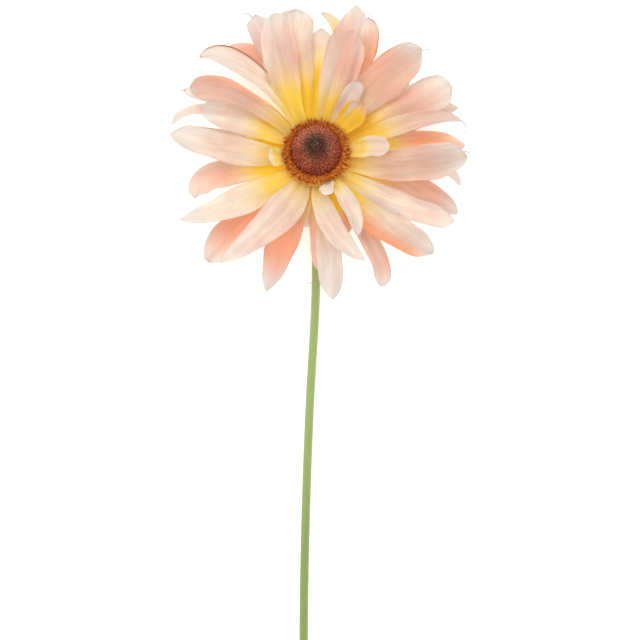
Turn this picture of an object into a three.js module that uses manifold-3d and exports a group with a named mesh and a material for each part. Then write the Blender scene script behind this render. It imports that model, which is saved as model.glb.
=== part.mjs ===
// A cut gerbera laid on its back on a table: the flower looks up, the neck of the stem bends under
// it, and the stem runs away along the table to its cut end.
// Millimetres, +Z up. The flower's face is modelled about its own axis in the head group, which is
// then tilted and lifted to where it lies. The origin is on the table, under the middle of the whole.

import * as THREE from "three";
import { mergeVertices } from "three/addons/utils/BufferGeometryUtils.js";
import Module from "manifold-3d";

const wasm = await Module();
wasm.setup();

// How the flower lies
const HEAD_TILT = (13 * Math.PI) / 180; // the face leans away from the stem
const HEAD_HEIGHT = 24; // from the table to the roots of the lowest row of petals
const STEM_RADIUS = 1.9;
const STEM_SIDES = 12;
const STEM_STEPS = 84;
const NECK_POINTS = 6;

// Where the stem's middle line passes on the table, as it drifts to one side and partly back
const STEM_SWAY = [
  [0.1, -34],
  [-0.2, -60],
  [-2.8, -108],
  [-4.6, -160],
  [-5.3, -210],
  [-4.6, -280],
  [-2.2, -350],
];

// How the head is built up along its axis, from the roots of the lowest petals
const BLADE = 0.7; // thickness of a petal
const COLLAR = 1.0; // thickness of the collar that carries a row of petals
const DISC_BASE = 5.05; // underside of the florets
const DOME_RADIUS = 10.1;
const DOME_HEIGHT = 8.6;
const RING_INNER = 10.7;
const RING_OUTER = 14.4;
const CUP_TOP = -1.0;
const CUP_BOTTOM = -12.0;
const SEAT_GAP = 0.3; // between the cup and the stem that it sits on

const UP = new THREE.Vector3(0, 0, 1);
const radians = THREE.MathUtils.degToRad;
const headPose = new THREE.Matrix4().makeRotationX(-HEAD_TILT).setPosition(0, 0, HEAD_HEIGHT);
const headPoseBack = headPose.clone().invert();
const discMiddle = new THREE.Vector3(0, 0, DISC_BASE + 1).applyMatrix4(headPose);

// Rows of petals, from the lowest up. Level is the middle of the collar. The angles are in degrees:
// lift is the pitch at the root, and curl is how far the petal turns down towards its tip.
const ROWS = {
  petals_back: { level: 0, collarRadius: 14, lift: 3, curl: 40, cup: -0.1 },
  petals_front: { level: 1.4, collarRadius: 14.5, lift: 13, curl: 30, cup: 0.14 },
  petals_inner: { level: 3.8, collarRadius: 15.2, lift: 32, curl: 34, cup: 0.25 },
};

// Each petal's tip is given as it is seen from straight above: its azimuth about the disc's middle,
// clockwise from +Y, and its distance from there. Then come its greatest width and how it differs
// from its row. Bend and hook turn it sideways, evenly or only near the tip, roll twists it about its
// midrib, peak is where it is widest, and slim makes it stay narrow for longer before that. End is
// the shape of its tip, or two of them, for the left and the right edge.
const PETALS = {
  petals_back: [
    { azimuth: 2.3, reach: 54.5, width: 12 },
    { azimuth: 1.8, reach: 61, width: 6.5, bend: -10, hook: -80, roll: -10, lift: 2, curl: 30 },
    { azimuth: 19.8, reach: 62.5, width: 10.5, bend: 14, hook: -75, lift: 1, curl: 33 },
    { azimuth: 52, reach: 50, width: 14 },
    { azimuth: 72, reach: 64, width: 12, end: ["round", "slant"] },
    { azimuth: 85, reach: 63.5, width: 10, roll: 12 },
    { azimuth: 102.5, reach: 62.5, width: 6, hook: 70, roll: 10 },
    { azimuth: 113, reach: 65.4, width: 15, bend: 8, end: ["round", "point"] },
    { azimuth: 146, reach: 45.5, width: 10 },
    { azimuth: 154.3, reach: 62.7, width: 8.5, bend: -8, hook: 62, peak: 0.75, end: "blunt" },
    { azimuth: 158, reach: 36.5, width: 10 },
    { azimuth: 173.5, reach: 62.3, width: 12.2, bend: 8, peak: 0.72 },
    { azimuth: 176.5, reach: 51, width: 11 },
    { azimuth: 187.5, reach: 31.5, width: 9 },
    { azimuth: 199.7, reach: 62.2, width: 15, peak: 0.7, end: "point" },
    { azimuth: 226.5, reach: 65.2, width: 14.5, end: ["blunt", "round"] },
    { azimuth: 249.5, reach: 54.7, width: 13, bend: 20, hook: -100 },
    { azimuth: 277.5, reach: 62.3, width: 14, bend: 10 },
    { azimuth: 281.5, reach: 62.3, width: 5.5, bend: 2, hook: -100, lift: 2, curl: 30 },
    { azimuth: 296, reach: 63, width: 11, bend: -36 },
    { azimuth: 322, reach: 59.6, width: 14, bend: -30, curl: 40 },
    { azimuth: 336.3, reach: 65.8, width: 12, peak: 0.75, curl: 38, end: "blunt" },
    { azimuth: 352.6, reach: 63.3, width: 18, bend: 27, curl: 32, end: "blunt" },
  ],
  petals_front: [
    { azimuth: 15.1, reach: 65.4, width: 16, lift: 15, end: ["point", "round"] },
    { azimuth: 17.6, reach: 54.3, width: 15, lift: 19, curl: 24 },
    { azimuth: 45, reach: 63.3, width: 19.5, bend: 12, lift: 13 },
    { azimuth: 63.7, reach: 64.3, width: 16, bend: 2, lift: 9, end: "blunt" },
    { azimuth: 78, reach: 63, width: 9.6, bend: 2, hook: 42, lift: 15, end: "point" },
    { azimuth: 91, reach: 63.6, width: 17.3, bend: -22, lift: 13, end: ["blunt", "round"] },
    { azimuth: 116.6, reach: 65, width: 11, bend: -28, lift: 9, end: ["round", "blunt"] },
    { azimuth: 130.5, reach: 65, width: 15.5, bend: -28, roll: 6, lift: 14 },
    { azimuth: 155.6, reach: 50.2, width: 12, bend: -54, lift: 15, end: ["slant", "point"] },
    { azimuth: 220.7, reach: 62, width: 18, bend: 38, lift: 16, peak: 0.42, end: ["spear", "slant"] },
    { azimuth: 244.5, reach: 65.5, width: 12.5, bend: 30, lift: 11, end: "point" },
    { azimuth: 277, reach: 62, width: 14.8, bend: 26, lift: 14, end: ["slant", "round"] },
    { azimuth: 290.5, reach: 51.8, width: 15, bend: -20, lift: 13 },
    {
      azimuth: 296.4, reach: 59.4, width: 11.2, bend: -14, hook: -42, lift: 15,
      peak: 0.8, slim: 1.6, end: "blunt",
    },
    {
      azimuth: 309.5, reach: 64, width: 14, bend: -34, hook: -40, lift: 12,
      peak: 0.85, slim: 9, end: ["slant", "round"],
    },
    { azimuth: 343.8, reach: 62.3, width: 16, bend: 24, lift: 15, end: ["round", "blunt"] },
  ],
  petals_inner: [
    { azimuth: 32.5, reach: 35, width: 8 },
    { azimuth: 46, reach: 28, width: 12, curl: 60 },
    { azimuth: 86, reach: 31, width: 11 },
    { azimuth: 154, reach: 39.5, width: 10, bend: 30, roll: 20 },
    { azimuth: 160, reach: 19, width: 6.5, lift: 48, curl: 0 },
    { azimuth: 264, reach: 20.5, width: 11, lift: 42, end: "blunt" },
  ],
};
const EVEN_PETAL = { bend: 0, hook: 0, roll: 0, peak: 0.6, slim: 1, end: "round" };
const PETAL_ENDS = {
  round: [7, 0.55],
  point: [4, 0.75],
  blunt: [14, 0.45],
  slant: [2.6, 0.8],
  spear: [1.7, 0.85],
};

const PETAL_SINK = 2; // how far a root starts inside its collar
const STATIONS = [0, 0.16, 0.34, 0.52, 0.68, 0.82, 0.93, 1]; // shares of the length, root to tip
const ACROSS = [-1, 0, 1]; // shares of the half width
const ROOT_SHARE = 0.36; // width at the root, as a share of the greatest
const TIP_HALF_WIDTH = 0.5;
const CURL_LATENESS = 1.5; // powers of the share of the length at which a petal curls and hooks
const HOOK_LATENESS = 5;

// Joins closed geometries into one solid, and gives back its geometry.
function fuse(geometries) {
  const solids = geometries.map(solidOf);
  const joined = solids.reduce((whole, solid) => whole.add(solid)).simplify(0.02);
  const { vertProperties, triVerts } = joined.getMesh();
  return new THREE.BufferGeometry()
    .setAttribute("position", new THREE.BufferAttribute(vertProperties, 3))
    .setIndex(new THREE.BufferAttribute(triVerts, 1));
}

// A closed geometry as a manifold-3d solid.
function solidOf(geometry) {
  const bare = geometry.clone();
  bare.deleteAttribute("normal");
  bare.deleteAttribute("uv");
  const merged = mergeVertices(bare, 1e-4);
  return new wasm.Manifold(
    new wasm.Mesh({
      numProp: 3,
      vertProperties: merged.attributes.position.array,
      triVerts: new Uint32Array(merged.index.array),
    }),
  );
}

// Share of the greatest half width that a petal has at s, from its root at 0 to its tip at 1, on its
// left edge at -1 and on its right edge at 1.
function petalOutline(s, side, { peak, slim, end }) {
  const ends = [end].flat();
  const [late, steep] = PETAL_ENDS[side < 0 ? ends[0] : ends[ends.length - 1]];
  const swell = Math.sin((Math.PI / 2) * Math.min(1, s / peak)) ** slim;
  return (ROOT_SHARE + (1 - ROOT_SHARE) * swell) * (1 - s ** late) ** steep;
}

// The middle line of a petal: a point, a heading and a pitch for each station. Its length and the
// place of its root are found by trial, so that its tip lands where it should, seen from above.
function midrib(petal, root, level) {
  const steps = 48;
  const trials = 20;
  const heading = (s) => radians(petal.bend * s + petal.hook * s ** HOOK_LATENESS);
  const pitch = (s) => radians(petal.lift - petal.curl * s ** CURL_LATENESS);
  const path = [new THREE.Vector3()];
  for (let i = 0; i < steps; i++) {
    const s = (i + 0.5) / steps;
    const step = new THREE.Vector3(
      Math.sin(heading(s)) * Math.cos(pitch(s)),
      Math.cos(heading(s)) * Math.cos(pitch(s)),
      Math.sin(pitch(s)),
    );
    path.push(path[i].clone().addScaledVector(step, 1 / steps));
  }
  let length = petal.reach - root;
  let turn = radians(petal.azimuth);
  const pointAt = (s) =>
    path[Math.round(s * steps)]
      .clone()
      .multiplyScalar(length)
      .add(new THREE.Vector3(0, root, level))
      .applyAxisAngle(UP, -turn);
  for (let i = 0; i < trials; i++) {
    const tip = pointAt(1).applyMatrix4(headPose).sub(discMiddle);
    const miss = radians(petal.azimuth) - Math.atan2(tip.x, tip.y);
    turn += Math.atan2(Math.sin(miss), Math.cos(miss));
    length += petal.reach - Math.hypot(tip.x, tip.y);
  }
  return STATIONS.map((s) => ({ s, point: pointAt(s), heading: heading(s) + turn, pitch: pitch(s) }));
}

// Lifts a point of the head that would be under the table, so that a petal lies flat where it touches.
function settleOnTable(point, height) {
  const inPlace = point.clone().applyMatrix4(headPose);
  inPlace.z = Math.max(inPlace.z, height);
  return inPlace.applyMatrix4(headPoseBack);
}

// A thin closed blade along a midrib: an upper and a lower face, each a grid of points.
function petalBlade(petal, root, level) {
  const upper = [];
  const lower = [];
  for (const { s, point, heading, pitch } of midrib(petal, root, level)) {
    const along = new THREE.Vector3(
      Math.sin(heading) * Math.cos(pitch),
      Math.cos(heading) * Math.cos(pitch),
      Math.sin(pitch),
    );
    const side = new THREE.Vector3(Math.cos(heading), -Math.sin(heading), 0);
    side.applyAxisAngle(along, -radians(petal.roll) * s);
    const normal = new THREE.Vector3().crossVectors(side, along);
    for (const u of ACROSS) {
      const halfWidth = Math.max(TIP_HALF_WIDTH, (petal.width / 2) * petalOutline(s, u, petal));
      const middle = point
        .clone()
        .addScaledVector(side, u * halfWidth)
        .addScaledVector(normal, petal.cup * halfWidth * u * u);
      const half = normal.clone().multiplyScalar(BLADE / 2);
      upper.push(settleOnTable(middle.clone().add(half), BLADE));
      lower.push(settleOnTable(middle.clone().sub(half), 0));
    }
  }
  return geometryFrom([...upper, ...lower].flatMap((point) => point.toArray()), bladeTriangles());
}

// The triangles of a blade. Both faces are split along the same diagonals, so that they don't cross.
function bladeTriangles() {
  const wide = ACROSS.length;
  const under = STATIONS.length * wide;
  const triangles = [];
  const quad = (a, b, c, d) => triangles.push(a, b, c, a, c, d);
  for (let i = 0; i < STATIONS.length - 1; i++) {
    const here = i * wide;
    const next = here + wide;
    for (let j = 0; j < wide - 1; j++) {
      quad(here + j, here + j + 1, next + j + 1, next + j);
      quad(under + next + j + 1, under + here + j + 1, under + here + j, under + next + j);
    }
    quad(here, next, next + under, here + under);
    quad(here + wide - 1, here + wide - 1 + under, next + wide - 1 + under, next + wide - 1);
  }
  for (let j = 0; j < wide - 1; j++) {
    const tip = under - wide + j;
    quad(j, j + under, j + 1 + under, j + 1);
    quad(tip, tip + 1, tip + 1 + under, tip + under);
  }
  return triangles;
}

// A geometry from plain lists of coordinates and corners.
function geometryFrom(coordinates, triangles) {
  return new THREE.BufferGeometry()
    .setAttribute("position", new THREE.Float32BufferAttribute(coordinates, 3))
    .setIndex(triangles);
}

// One row of petals, fused to the collar that carries it.
function petalRow(name) {
  const row = ROWS[name];
  const sides = 40;
  const collar = new THREE.CylinderGeometry(row.collarRadius, row.collarRadius, COLLAR, sides);
  collar.rotateX(Math.PI / 2).translate(0, 0, row.level);
  const blades = PETALS[name].map((petal) =>
    petalBlade({ ...EVEN_PETAL, ...row, ...petal }, row.collarRadius - PETAL_SINK, row.level),
  );
  return fuse([collar, ...blades]);
}

// The dome of small florets: a lathed cap whose surface stands up and down in staggered knobs, with
// a dimple at its top. The knobs grow lower towards the top.
function discDome() {
  const around = 36;
  const rings = 10;
  const knob = 0.45;
  const fullKnobFrom = 5; // distance from the axis
  const dimple = 1;
  const profile = [new THREE.Vector2(0, 0), new THREE.Vector2(DOME_RADIUS, 0)];
  for (let i = 1; i < rings; i++) {
    const angle = (Math.PI / 2) * (i / rings);
    profile.push(new THREE.Vector2(DOME_RADIUS * Math.cos(angle), DOME_HEIGHT * Math.sin(angle)));
  }
  profile.push(new THREE.Vector2(0, DOME_HEIGHT - dimple));
  const dome = new THREE.LatheGeometry(profile, around).rotateX(Math.PI / 2);
  const position = dome.attributes.position;
  for (let i = 0; i < position.count; i++) {
    const point = new THREE.Vector3().fromBufferAttribute(position, i);
    const fromAxis = Math.hypot(point.x, point.y);
    const angle = Math.asin(Math.min(1, point.z / DOME_HEIGHT));
    const ring = Math.round((angle * rings) / (Math.PI / 2));
    if (ring > 0 && ring < rings && fromAxis > dimple) {
      const stagger = Math.cos((around / 2) * Math.atan2(point.y, point.x) + Math.PI * ring);
      const height = knob * Math.min(1, fromAxis / fullKnobFrom);
      point.addScaledVector(point.clone().normalize(), stagger * height);
      position.setXYZ(i, point.x, point.y, point.z);
    }
  }
  return closed(dome).translate(0, 0, DISC_BASE);
}

// The ragged ring of larger florets round the dome: a section with a low outer tooth and a high
// inner one by turns, carried round the axis. Its points are distances from the axis and heights.
function floretRing() {
  const teeth = 36;
  const lowTooth = [
    [RING_INNER, 0],
    [12.7, 0],
    [RING_OUTER, 1.5],
    [12.0, 1.7],
    [11.7, 2.1],
    [RING_INNER + 0.2, 2.0],
  ];
  const highTooth = [
    [RING_INNER, 0],
    [12.7, 0],
    [12.9, 0.9],
    [12.0, 1.7],
    [12.7, 3.2],
    [RING_INNER + 0.2, 2.0],
  ];
  const coordinates = [];
  const triangles = [];
  const size = lowTooth.length;
  const sections = 2 * teeth;
  for (let i = 0; i < sections; i++) {
    const turn = (2 * Math.PI * i) / sections;
    for (const [r, z] of i % 2 ? highTooth : lowTooth) {
      coordinates.push(r * Math.cos(turn), r * Math.sin(turn), DISC_BASE + z);
    }
    const here = i * size;
    const next = ((i + 1) % sections) * size;
    for (let j = 0; j < size; j++) {
      const k = (j + 1) % size;
      triangles.push(here + j, next + j, next + k, here + j, next + k, here + k);
    }
  }
  return geometryFrom(coordinates, triangles);
}

// The green cup under the petals, with two rows of narrow bracts lying up its wall. The points of
// the wall and of the bracts are distances from the axis and heights.
function involucre() {
  const wall = [
    [0, CUP_BOTTOM],
    [2.7, CUP_BOTTOM],
    [3.8, CUP_BOTTOM + 1.4],
    [7.2, CUP_BOTTOM + 3.4],
    [9.8, CUP_BOTTOM + 6.6],
    [11.2, CUP_TOP],
    [0, CUP_TOP],
  ];
  const wallSides = 24;
  const profile = wall.map(([r, z]) => new THREE.Vector2(r, z));
  const cup = closed(new THREE.LatheGeometry(profile, wallSides).rotateX(Math.PI / 2));
  const perRow = 15;
  const bractRows = [
    { offset: 0, foot: [6.2, -9.3], knee: [10.6, -5.2], tip: [12.6, -1.9], width: 3.4 },
    { offset: 0.5, foot: [3.6, -11.2], knee: [8.4, -8.6], tip: [11.4, -5.4], width: 3.2 },
  ];
  const bracts = bractRows.flatMap((row) =>
    Array.from({ length: perRow }, (_, i) => bract(row, (2 * Math.PI * (i + row.offset)) / perRow)),
  );
  return fuse([cup, ...bracts]);
}

// One bract: a pointed plate over its foot, knee and tip. It is deep enough at its foot and knee to
// be sunk into the cup, and thin at its free tip.
function bract({ foot, knee, tip, width }, turn) {
  const sections = [
    { place: foot, share: 0.5, depth: 2.4 },
    { place: knee, share: 1, depth: 2.4 },
    { place: tip, share: 0.14, depth: 0.8 },
  ];
  const inward = { r: -0.8, z: 0.6 };
  const coordinates = [];
  for (const { place, share, depth } of sections) {
    const [r, z] = place;
    const half = (width / 2) * share;
    const innerR = r + inward.r * depth;
    const innerZ = z + inward.z * depth;
    coordinates.push(r, -half, z, r, half, z, innerR, half, innerZ, innerR, -half, innerZ);
  }
  const triangles = [0, 2, 1, 0, 3, 2];
  const last = (sections.length - 1) * 4;
  for (let i = 0; i < last; i += 4) {
    for (let j = 0; j < 4; j++) {
      const k = (j + 1) % 4;
      triangles.push(i + j, i + k, i + 4 + k, i + j, i + 4 + k, i + 4 + j);
    }
  }
  triangles.push(last, last + 1, last + 2, last, last + 2, last + 3);
  return geometryFrom(coordinates, triangles).rotateZ(turn);
}

// The stem's middle line: straight out of the cup, round the neck, then along the table in one slow
// curve. Its lowest faces lie flat on the table.
function stemPath() {
  const onAxis = (z) => new THREE.Vector3(0, 0, z).applyMatrix4(headPose);
  const straight = 1.5;
  const top = onAxis(CUP_BOTTOM - SEAT_GAP);
  const start = onAxis(CUP_BOTTOM - SEAT_GAP - straight);
  const turn = Math.PI / 2 - HEAD_TILT;
  const lying = STEM_RADIUS * Math.cos(Math.PI / STEM_SIDES);
  const neckRadius = (start.z - lying) / (1 - Math.cos(turn));
  const neckEnd = start.y - neckRadius * Math.sin(turn);
  const neck = [];
  for (let i = 0; i < NECK_POINTS; i++) {
    const angle = turn * (1 - i / NECK_POINTS);
    const drop = neckRadius * (1 - Math.cos(angle));
    neck.push(new THREE.Vector3(0, neckEnd + neckRadius * Math.sin(angle), lying + drop));
  }
  const along = [[0, neckEnd], [0, neckEnd - 2.5], [0, neckEnd - 8], ...STEM_SWAY];
  const lyingPoints = along.map(([x, y]) => new THREE.Vector3(x, y, lying));
  return new THREE.CatmullRomCurve3([top, ...neck, ...lyingPoints]);
}

function stem() {
  const section = new THREE.Shape();
  for (let i = 0; i < STEM_SIDES; i++) {
    const angle = ((i + 0.5) * 2 * Math.PI) / STEM_SIDES;
    section.lineTo(STEM_RADIUS * Math.cos(angle), STEM_RADIUS * Math.sin(angle));
  }
  return closed(new THREE.ExtrudeGeometry(section, { steps: STEM_STEPS, extrudePath: stemPath() }));
}

// The same surface with only its positions, its doubled vertices merged.
function closed(geometry) {
  geometry.deleteAttribute("normal");
  geometry.deleteAttribute("uv");
  return mergeVertices(geometry, 1e-4);
}

function finish(color, roughness) {
  return new THREE.MeshStandardMaterial({ color, roughness, metalness: 0 });
}

const finishes = {
  petals_back: finish(0xf5a37a, 0.85),
  petals_front: finish(0xeeccb2, 0.85),
  petals_inner: finish(0xf0cca8, 0.85),
  floret_ring: finish(0xb55c17, 0.9),
  disc_florets: finish(0x7a2e21, 0.9),
  involucre: finish(0x809e47, 0.7),
  stem: finish(0x9ab562, 0.55),
};

function piece(name, geometry) {
  const mesh = new THREE.Mesh(geometry, finishes[name]);
  mesh.name = name;
  return mesh;
}

const head = new THREE.Group();
head.add(piece("involucre", involucre()));
for (const name of Object.keys(ROWS)) {
  head.add(piece(name, petalRow(name)));
}
head.add(piece("floret_ring", floretRing()));
head.add(piece("disc_florets", discDome()));
head.applyMatrix4(headPose);

const flower = new THREE.Group();
flower.add(head, piece("stem", stem()));
const middle = new THREE.Box3().setFromObject(flower, true).getCenter(new THREE.Vector3());
flower.position.set(-middle.x, -middle.y, 0);

const gerbera = new THREE.Group();
gerbera.add(flower);
export default gerbera;
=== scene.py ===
# %% [markdown]
# # A cut gerbera on a pale table
#
# The flower lies on its back: its face looks up, the neck of the stem bends under it, and the long
# bare stem runs away along the table. The solids in the frame have the right places and sizes. This
# script dresses them: thin silky petals with folds and curled tips, a dome of small florets with a
# dark eye, a frayed orange fringe, green bracts under the petals, and a smooth stem.

# %% Load the frame
import math

import bpy
import numpy as np
from mathutils import Matrix, Vector


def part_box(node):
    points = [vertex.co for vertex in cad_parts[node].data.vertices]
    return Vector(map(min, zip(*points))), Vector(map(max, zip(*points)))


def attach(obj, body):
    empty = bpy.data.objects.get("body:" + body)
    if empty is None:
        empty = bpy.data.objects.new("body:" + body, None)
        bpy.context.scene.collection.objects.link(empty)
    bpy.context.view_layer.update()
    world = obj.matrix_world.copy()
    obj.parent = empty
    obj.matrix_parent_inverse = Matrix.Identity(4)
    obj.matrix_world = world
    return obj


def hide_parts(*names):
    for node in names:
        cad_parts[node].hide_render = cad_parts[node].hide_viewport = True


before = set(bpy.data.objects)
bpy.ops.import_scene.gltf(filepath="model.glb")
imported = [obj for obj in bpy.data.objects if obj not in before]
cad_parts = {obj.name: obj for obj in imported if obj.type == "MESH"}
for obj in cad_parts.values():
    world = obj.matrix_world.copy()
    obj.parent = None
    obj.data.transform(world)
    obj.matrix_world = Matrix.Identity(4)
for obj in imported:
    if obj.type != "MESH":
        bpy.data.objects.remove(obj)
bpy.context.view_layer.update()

MM = 0.001
print("solids in the frame:", ", ".join(sorted(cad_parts)))

# %% [markdown]
# ## Where the head is
#
# The petals and the disc are easiest to shape about their own axis, in millimetres, with the roots of
# the lowest petals at height zero. One matrix then lays that head where the solids have it. The ring
# of florets is round, so the middle of its box gives the head's place on the table, once the sideways
# shift that its tilt causes is taken off.

# %% The head's own frame
HEAD_TILT = math.radians(13)
HEAD_HEIGHT = 24.0
DISC_BASE = 5.05
RING_OUTER_HEIGHT = 1.5  # where the ring is widest, above the disc's base

ring_low, ring_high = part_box("floret_ring")
ring_middle = (Vector(ring_low) + Vector(ring_high)) / 2
shift = (DISC_BASE + RING_OUTER_HEIGHT) * math.sin(HEAD_TILT) * MM
head_place = Vector((ring_middle.x, ring_middle.y - shift, HEAD_HEIGHT * MM))
head_pose = (
    Matrix.Translation(head_place) @ Matrix.Rotation(-HEAD_TILT, 4, "X") @ Matrix.Scale(MM, 4)
)
pose = np.array(head_pose)
disc_middle = np.array(head_pose @ Vector((0, 0, DISC_BASE + 1)))
print("head at", [round(v, 4) for v in head_place], "disc middle at", disc_middle.round(4).tolist())

# %% [markdown]
# ## The camera
#
# The flower is seen face on, so the camera hangs straight above the table and looks down. From one
# and a half metres the perspective is gentle. The lens follows from the width that the picture covers
# at the height of the disc.

# %% Hang the camera over the flower
CAMERA_HEIGHT = 1.5
PICTURE_WIDTH = 0.2688
DISC_ABOVE_MIDDLE = 0.0706  # the disc isn't in the middle of the picture but near its top
DISC_LEFT_OF_MIDDLE = 0.0017
AIM = Vector((disc_middle[0] + DISC_LEFT_OF_MIDDLE, disc_middle[1] - DISC_ABOVE_MIDDLE, 0))

view = bpy.data.cameras.new("camera")
view.sensor_width = 36
view.lens = view.sensor_width * (CAMERA_HEIGHT - disc_middle[2]) / PICTURE_WIDTH
view.dof.use_dof = False
camera = bpy.data.objects.new("camera", view)
camera.location = (AIM.x, AIM.y, CAMERA_HEIGHT)
bpy.context.scene.collection.objects.link(camera)
bpy.context.scene.camera = camera
print("lens", round(view.lens, 1), "mm")

# %% [markdown]
# ## Small helpers
#
# Every finish and every Geometry Nodes tree below is built by the same two calls: one puts a node in
# a tree and feeds its inputs, the other does a sum. Nodes could be placed by hand in the editor, but a
# tree that is written out can be read like a recipe and gives the same result each time.

# %% Put a node in a tree, and do sums with nodes
def put(tree, kind, feeds=None, **settings):
    """Adds a node. feeds gives its inputs plain values, or the sockets that drive them."""
    node = tree.nodes.new(kind)
    for key, value in settings.items():
        setattr(node, key, value)
    for key, value in (feeds or {}).items():
        for given in value if isinstance(value, list) else [value]:
            if isinstance(given, bpy.types.NodeSocket):
                tree.links.new(given, node.inputs[key])
            else:
                node.inputs[key].default_value = given
    return node


def shown(node):
    """The first output that the node's settings leave switched on."""
    return next(socket for socket in node.outputs if socket.enabled)


def sum_of(tree, operation, *values):
    """The output of a Math node."""
    feeds = dict(enumerate(values))
    return put(tree, "ShaderNodeMath", feeds, operation=operation).outputs[0]


def product(tree, first, *others):
    """All the values multiplied together."""
    for other in others:
        first = sum_of(tree, "MULTIPLY", first, other)
    return first


def joined(tree, x=0.0, y=0.0, z=0.0):
    """Three numbers as one vector."""
    return put(tree, "ShaderNodeCombineXYZ", {"X": x, "Y": y, "Z": z}).outputs[0]


def parts_of(tree, vector):
    """The three numbers of a vector."""
    return put(tree, "ShaderNodeSeparateXYZ", {"Vector": vector}).outputs


print("put adds a node, sum_of and product do sums, joined and parts_of handle vectors")

# %% [markdown]
# ## Trees that grow pieces
#
# A flower repeats small shapes hundreds of times: buds, spikes, bracts. Geometry Nodes lay them from a
# few named sizes. A tree ends by making its instances real, and its result is kept as a plain mesh,
# because only plain meshes travel well to other programs.

# %% Start a Geometry Nodes tree, run it, and keep the mesh
SOCKETS = {int: "NodeSocketInt", float: "NodeSocketFloat"}


def new_tree(name, **sizes):
    """A tree with a named input for each size, and one for the finish. Gives the tree and its inputs."""
    tree = bpy.data.node_groups.new(name, "GeometryNodeTree")
    face = tree.interface
    face.new_socket("Geometry", in_out="INPUT", socket_type="NodeSocketGeometry")
    for label, value in sizes.items():
        socket = face.new_socket(label, in_out="INPUT", socket_type=SOCKETS[type(value)])
        socket.default_value = value
    face.new_socket("finish", in_out="INPUT", socket_type="NodeSocketMaterial")
    face.new_socket("Geometry", in_out="OUTPUT", socket_type="NodeSocketGeometry")
    return tree, put(tree, "NodeGroupInput").outputs


def end_tree(tree, given, *shapes):
    """Joins the shapes, makes instances real and gives them the finish."""
    joint = put(tree, "GeometryNodeJoinGeometry", {"Geometry": list(shapes)})
    real = put(tree, "GeometryNodeRealizeInstances", {"Geometry": joint.outputs[0]})
    smooth = put(tree, "GeometryNodeSetShadeSmooth", {"Geometry": real.outputs[0]})
    feeds = {"Geometry": smooth.outputs[0], "Material": given["finish"]}
    dressed = put(tree, "GeometryNodeSetMaterial", feeds)
    put(tree, "NodeGroupOutput", {"Geometry": dressed.outputs[0]})


def grow(name, start, finish, steps, place=None):
    """Runs trees on a start mesh or curve, one after another. The result is a plain mesh piece."""
    holder = bpy.data.objects.new(name + "_start", start)
    bpy.context.scene.collection.objects.link(holder)
    for tree, sizes in steps:
        step = holder.modifiers.new(tree.name, "NODES")
        step.node_group = tree
        for item in tree.interface.items_tree:
            if item.in_out == "INPUT" and item.name in sizes:
                step[item.identifier] = sizes[item.name]
            if item.in_out == "INPUT" and item.name == "finish":
                step[item.identifier] = finish
    ready = holder.evaluated_get(bpy.context.evaluated_depsgraph_get())
    shape = bpy.data.meshes.new_from_object(ready)
    holder.modifiers.clear()
    bpy.data.objects.remove(holder)
    if place:
        shape.transform(place)
    return add_piece(name, shape)


def add_piece(name, shape):
    """Puts a mesh in the scene, at the origin and unturned, as the solids are."""
    shape.name = name
    piece = bpy.data.objects.new(name, shape)
    bpy.context.scene.collection.objects.link(piece)
    shape.calc_loop_triangles()
    print(name, "has", len(shape.loop_triangles), "triangles")
    return piece


def stand_for(piece, slot, *nodes):
    """Says to the frame that the piece lies with the flower, and hides the nodes that it replaces. The slot
    is not used.
    """
    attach(piece, "root")
    if nodes:
        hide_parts(*nodes)


# %% [markdown]
# ## Finishes
#
# Nothing on the flower has one even colour, so each finish mixes several, by noise or by what its mesh
# carries. The colours are judged in a bright, even light, as screen values, and turned to the linear
# values that shaders use.

# %% Colours and the start of a finish
def tint(red, green, blue):
    """A colour from screen values of 0 to 255, in the linear form that shaders use."""
    linear = [((c / 255 + 0.055) / 1.055) ** 2.4 if c > 10 else c / 3295 for c in (red, green, blue)]
    return (*linear, 1.0)


def new_finish(name, roughness, constants):
    """A material with one principled shader. Gives the material, its tree and the shader."""
    finish = bpy.data.materials.new(name)
    finish.use_nodes = True
    tree = finish.node_tree
    shader = tree.nodes["Principled BSDF"]
    shader.inputs["Roughness"].default_value = roughness
    for label, value in constants.items():
        shader.inputs[label].default_value = value
    return finish, tree, shader


def held(tree, value):
    """A value held between 0 and 1."""
    return put(tree, "ShaderNodeClamp", {"Value": value}).outputs[0]


def swing(tree, value, amount):
    """Noise as a change to both sides, over the amount in all."""
    return product(tree, sum_of(tree, "SUBTRACT", value, 0.5), amount)


# %% Patterns and colours
BLACK = (0, 0, 0, 1)
WHITE = (1, 1, 1, 1)


def object_place(tree):
    """Where a point is on the finished piece, in metres."""
    return put(tree, "ShaderNodeTexCoord").outputs["Object"]


def noise(tree, vector, scale, detail=2.0):
    """Soft noise around 0.5. The scale is in lumps for each unit of the vector."""
    feeds = {"Vector": vector, "Scale": scale, "Detail": detail}
    return put(tree, "ShaderNodeTexNoise", feeds).outputs["Fac"]


def blend_colours(tree, share, first, second, blend="MIX"):
    """Two colours mixed, the second by its share. Only the inputs for colours are switched on."""
    feeds = {"Factor": share, "A": first, "B": second}
    node = put(tree, "ShaderNodeMix", data_type="RGBA", blend_type=blend)
    for key, value in feeds.items():
        socket = next(s for s in node.inputs if s.name == key and s.enabled)
        if isinstance(value, bpy.types.NodeSocket):
            tree.links.new(value, socket)
        else:
            socket.default_value = value
    return shown(node)


def tinted(tree, colour, other):
    """A colour multiplied by another."""
    return blend_colours(tree, 1.0, colour, other, "MULTIPLY")


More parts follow.
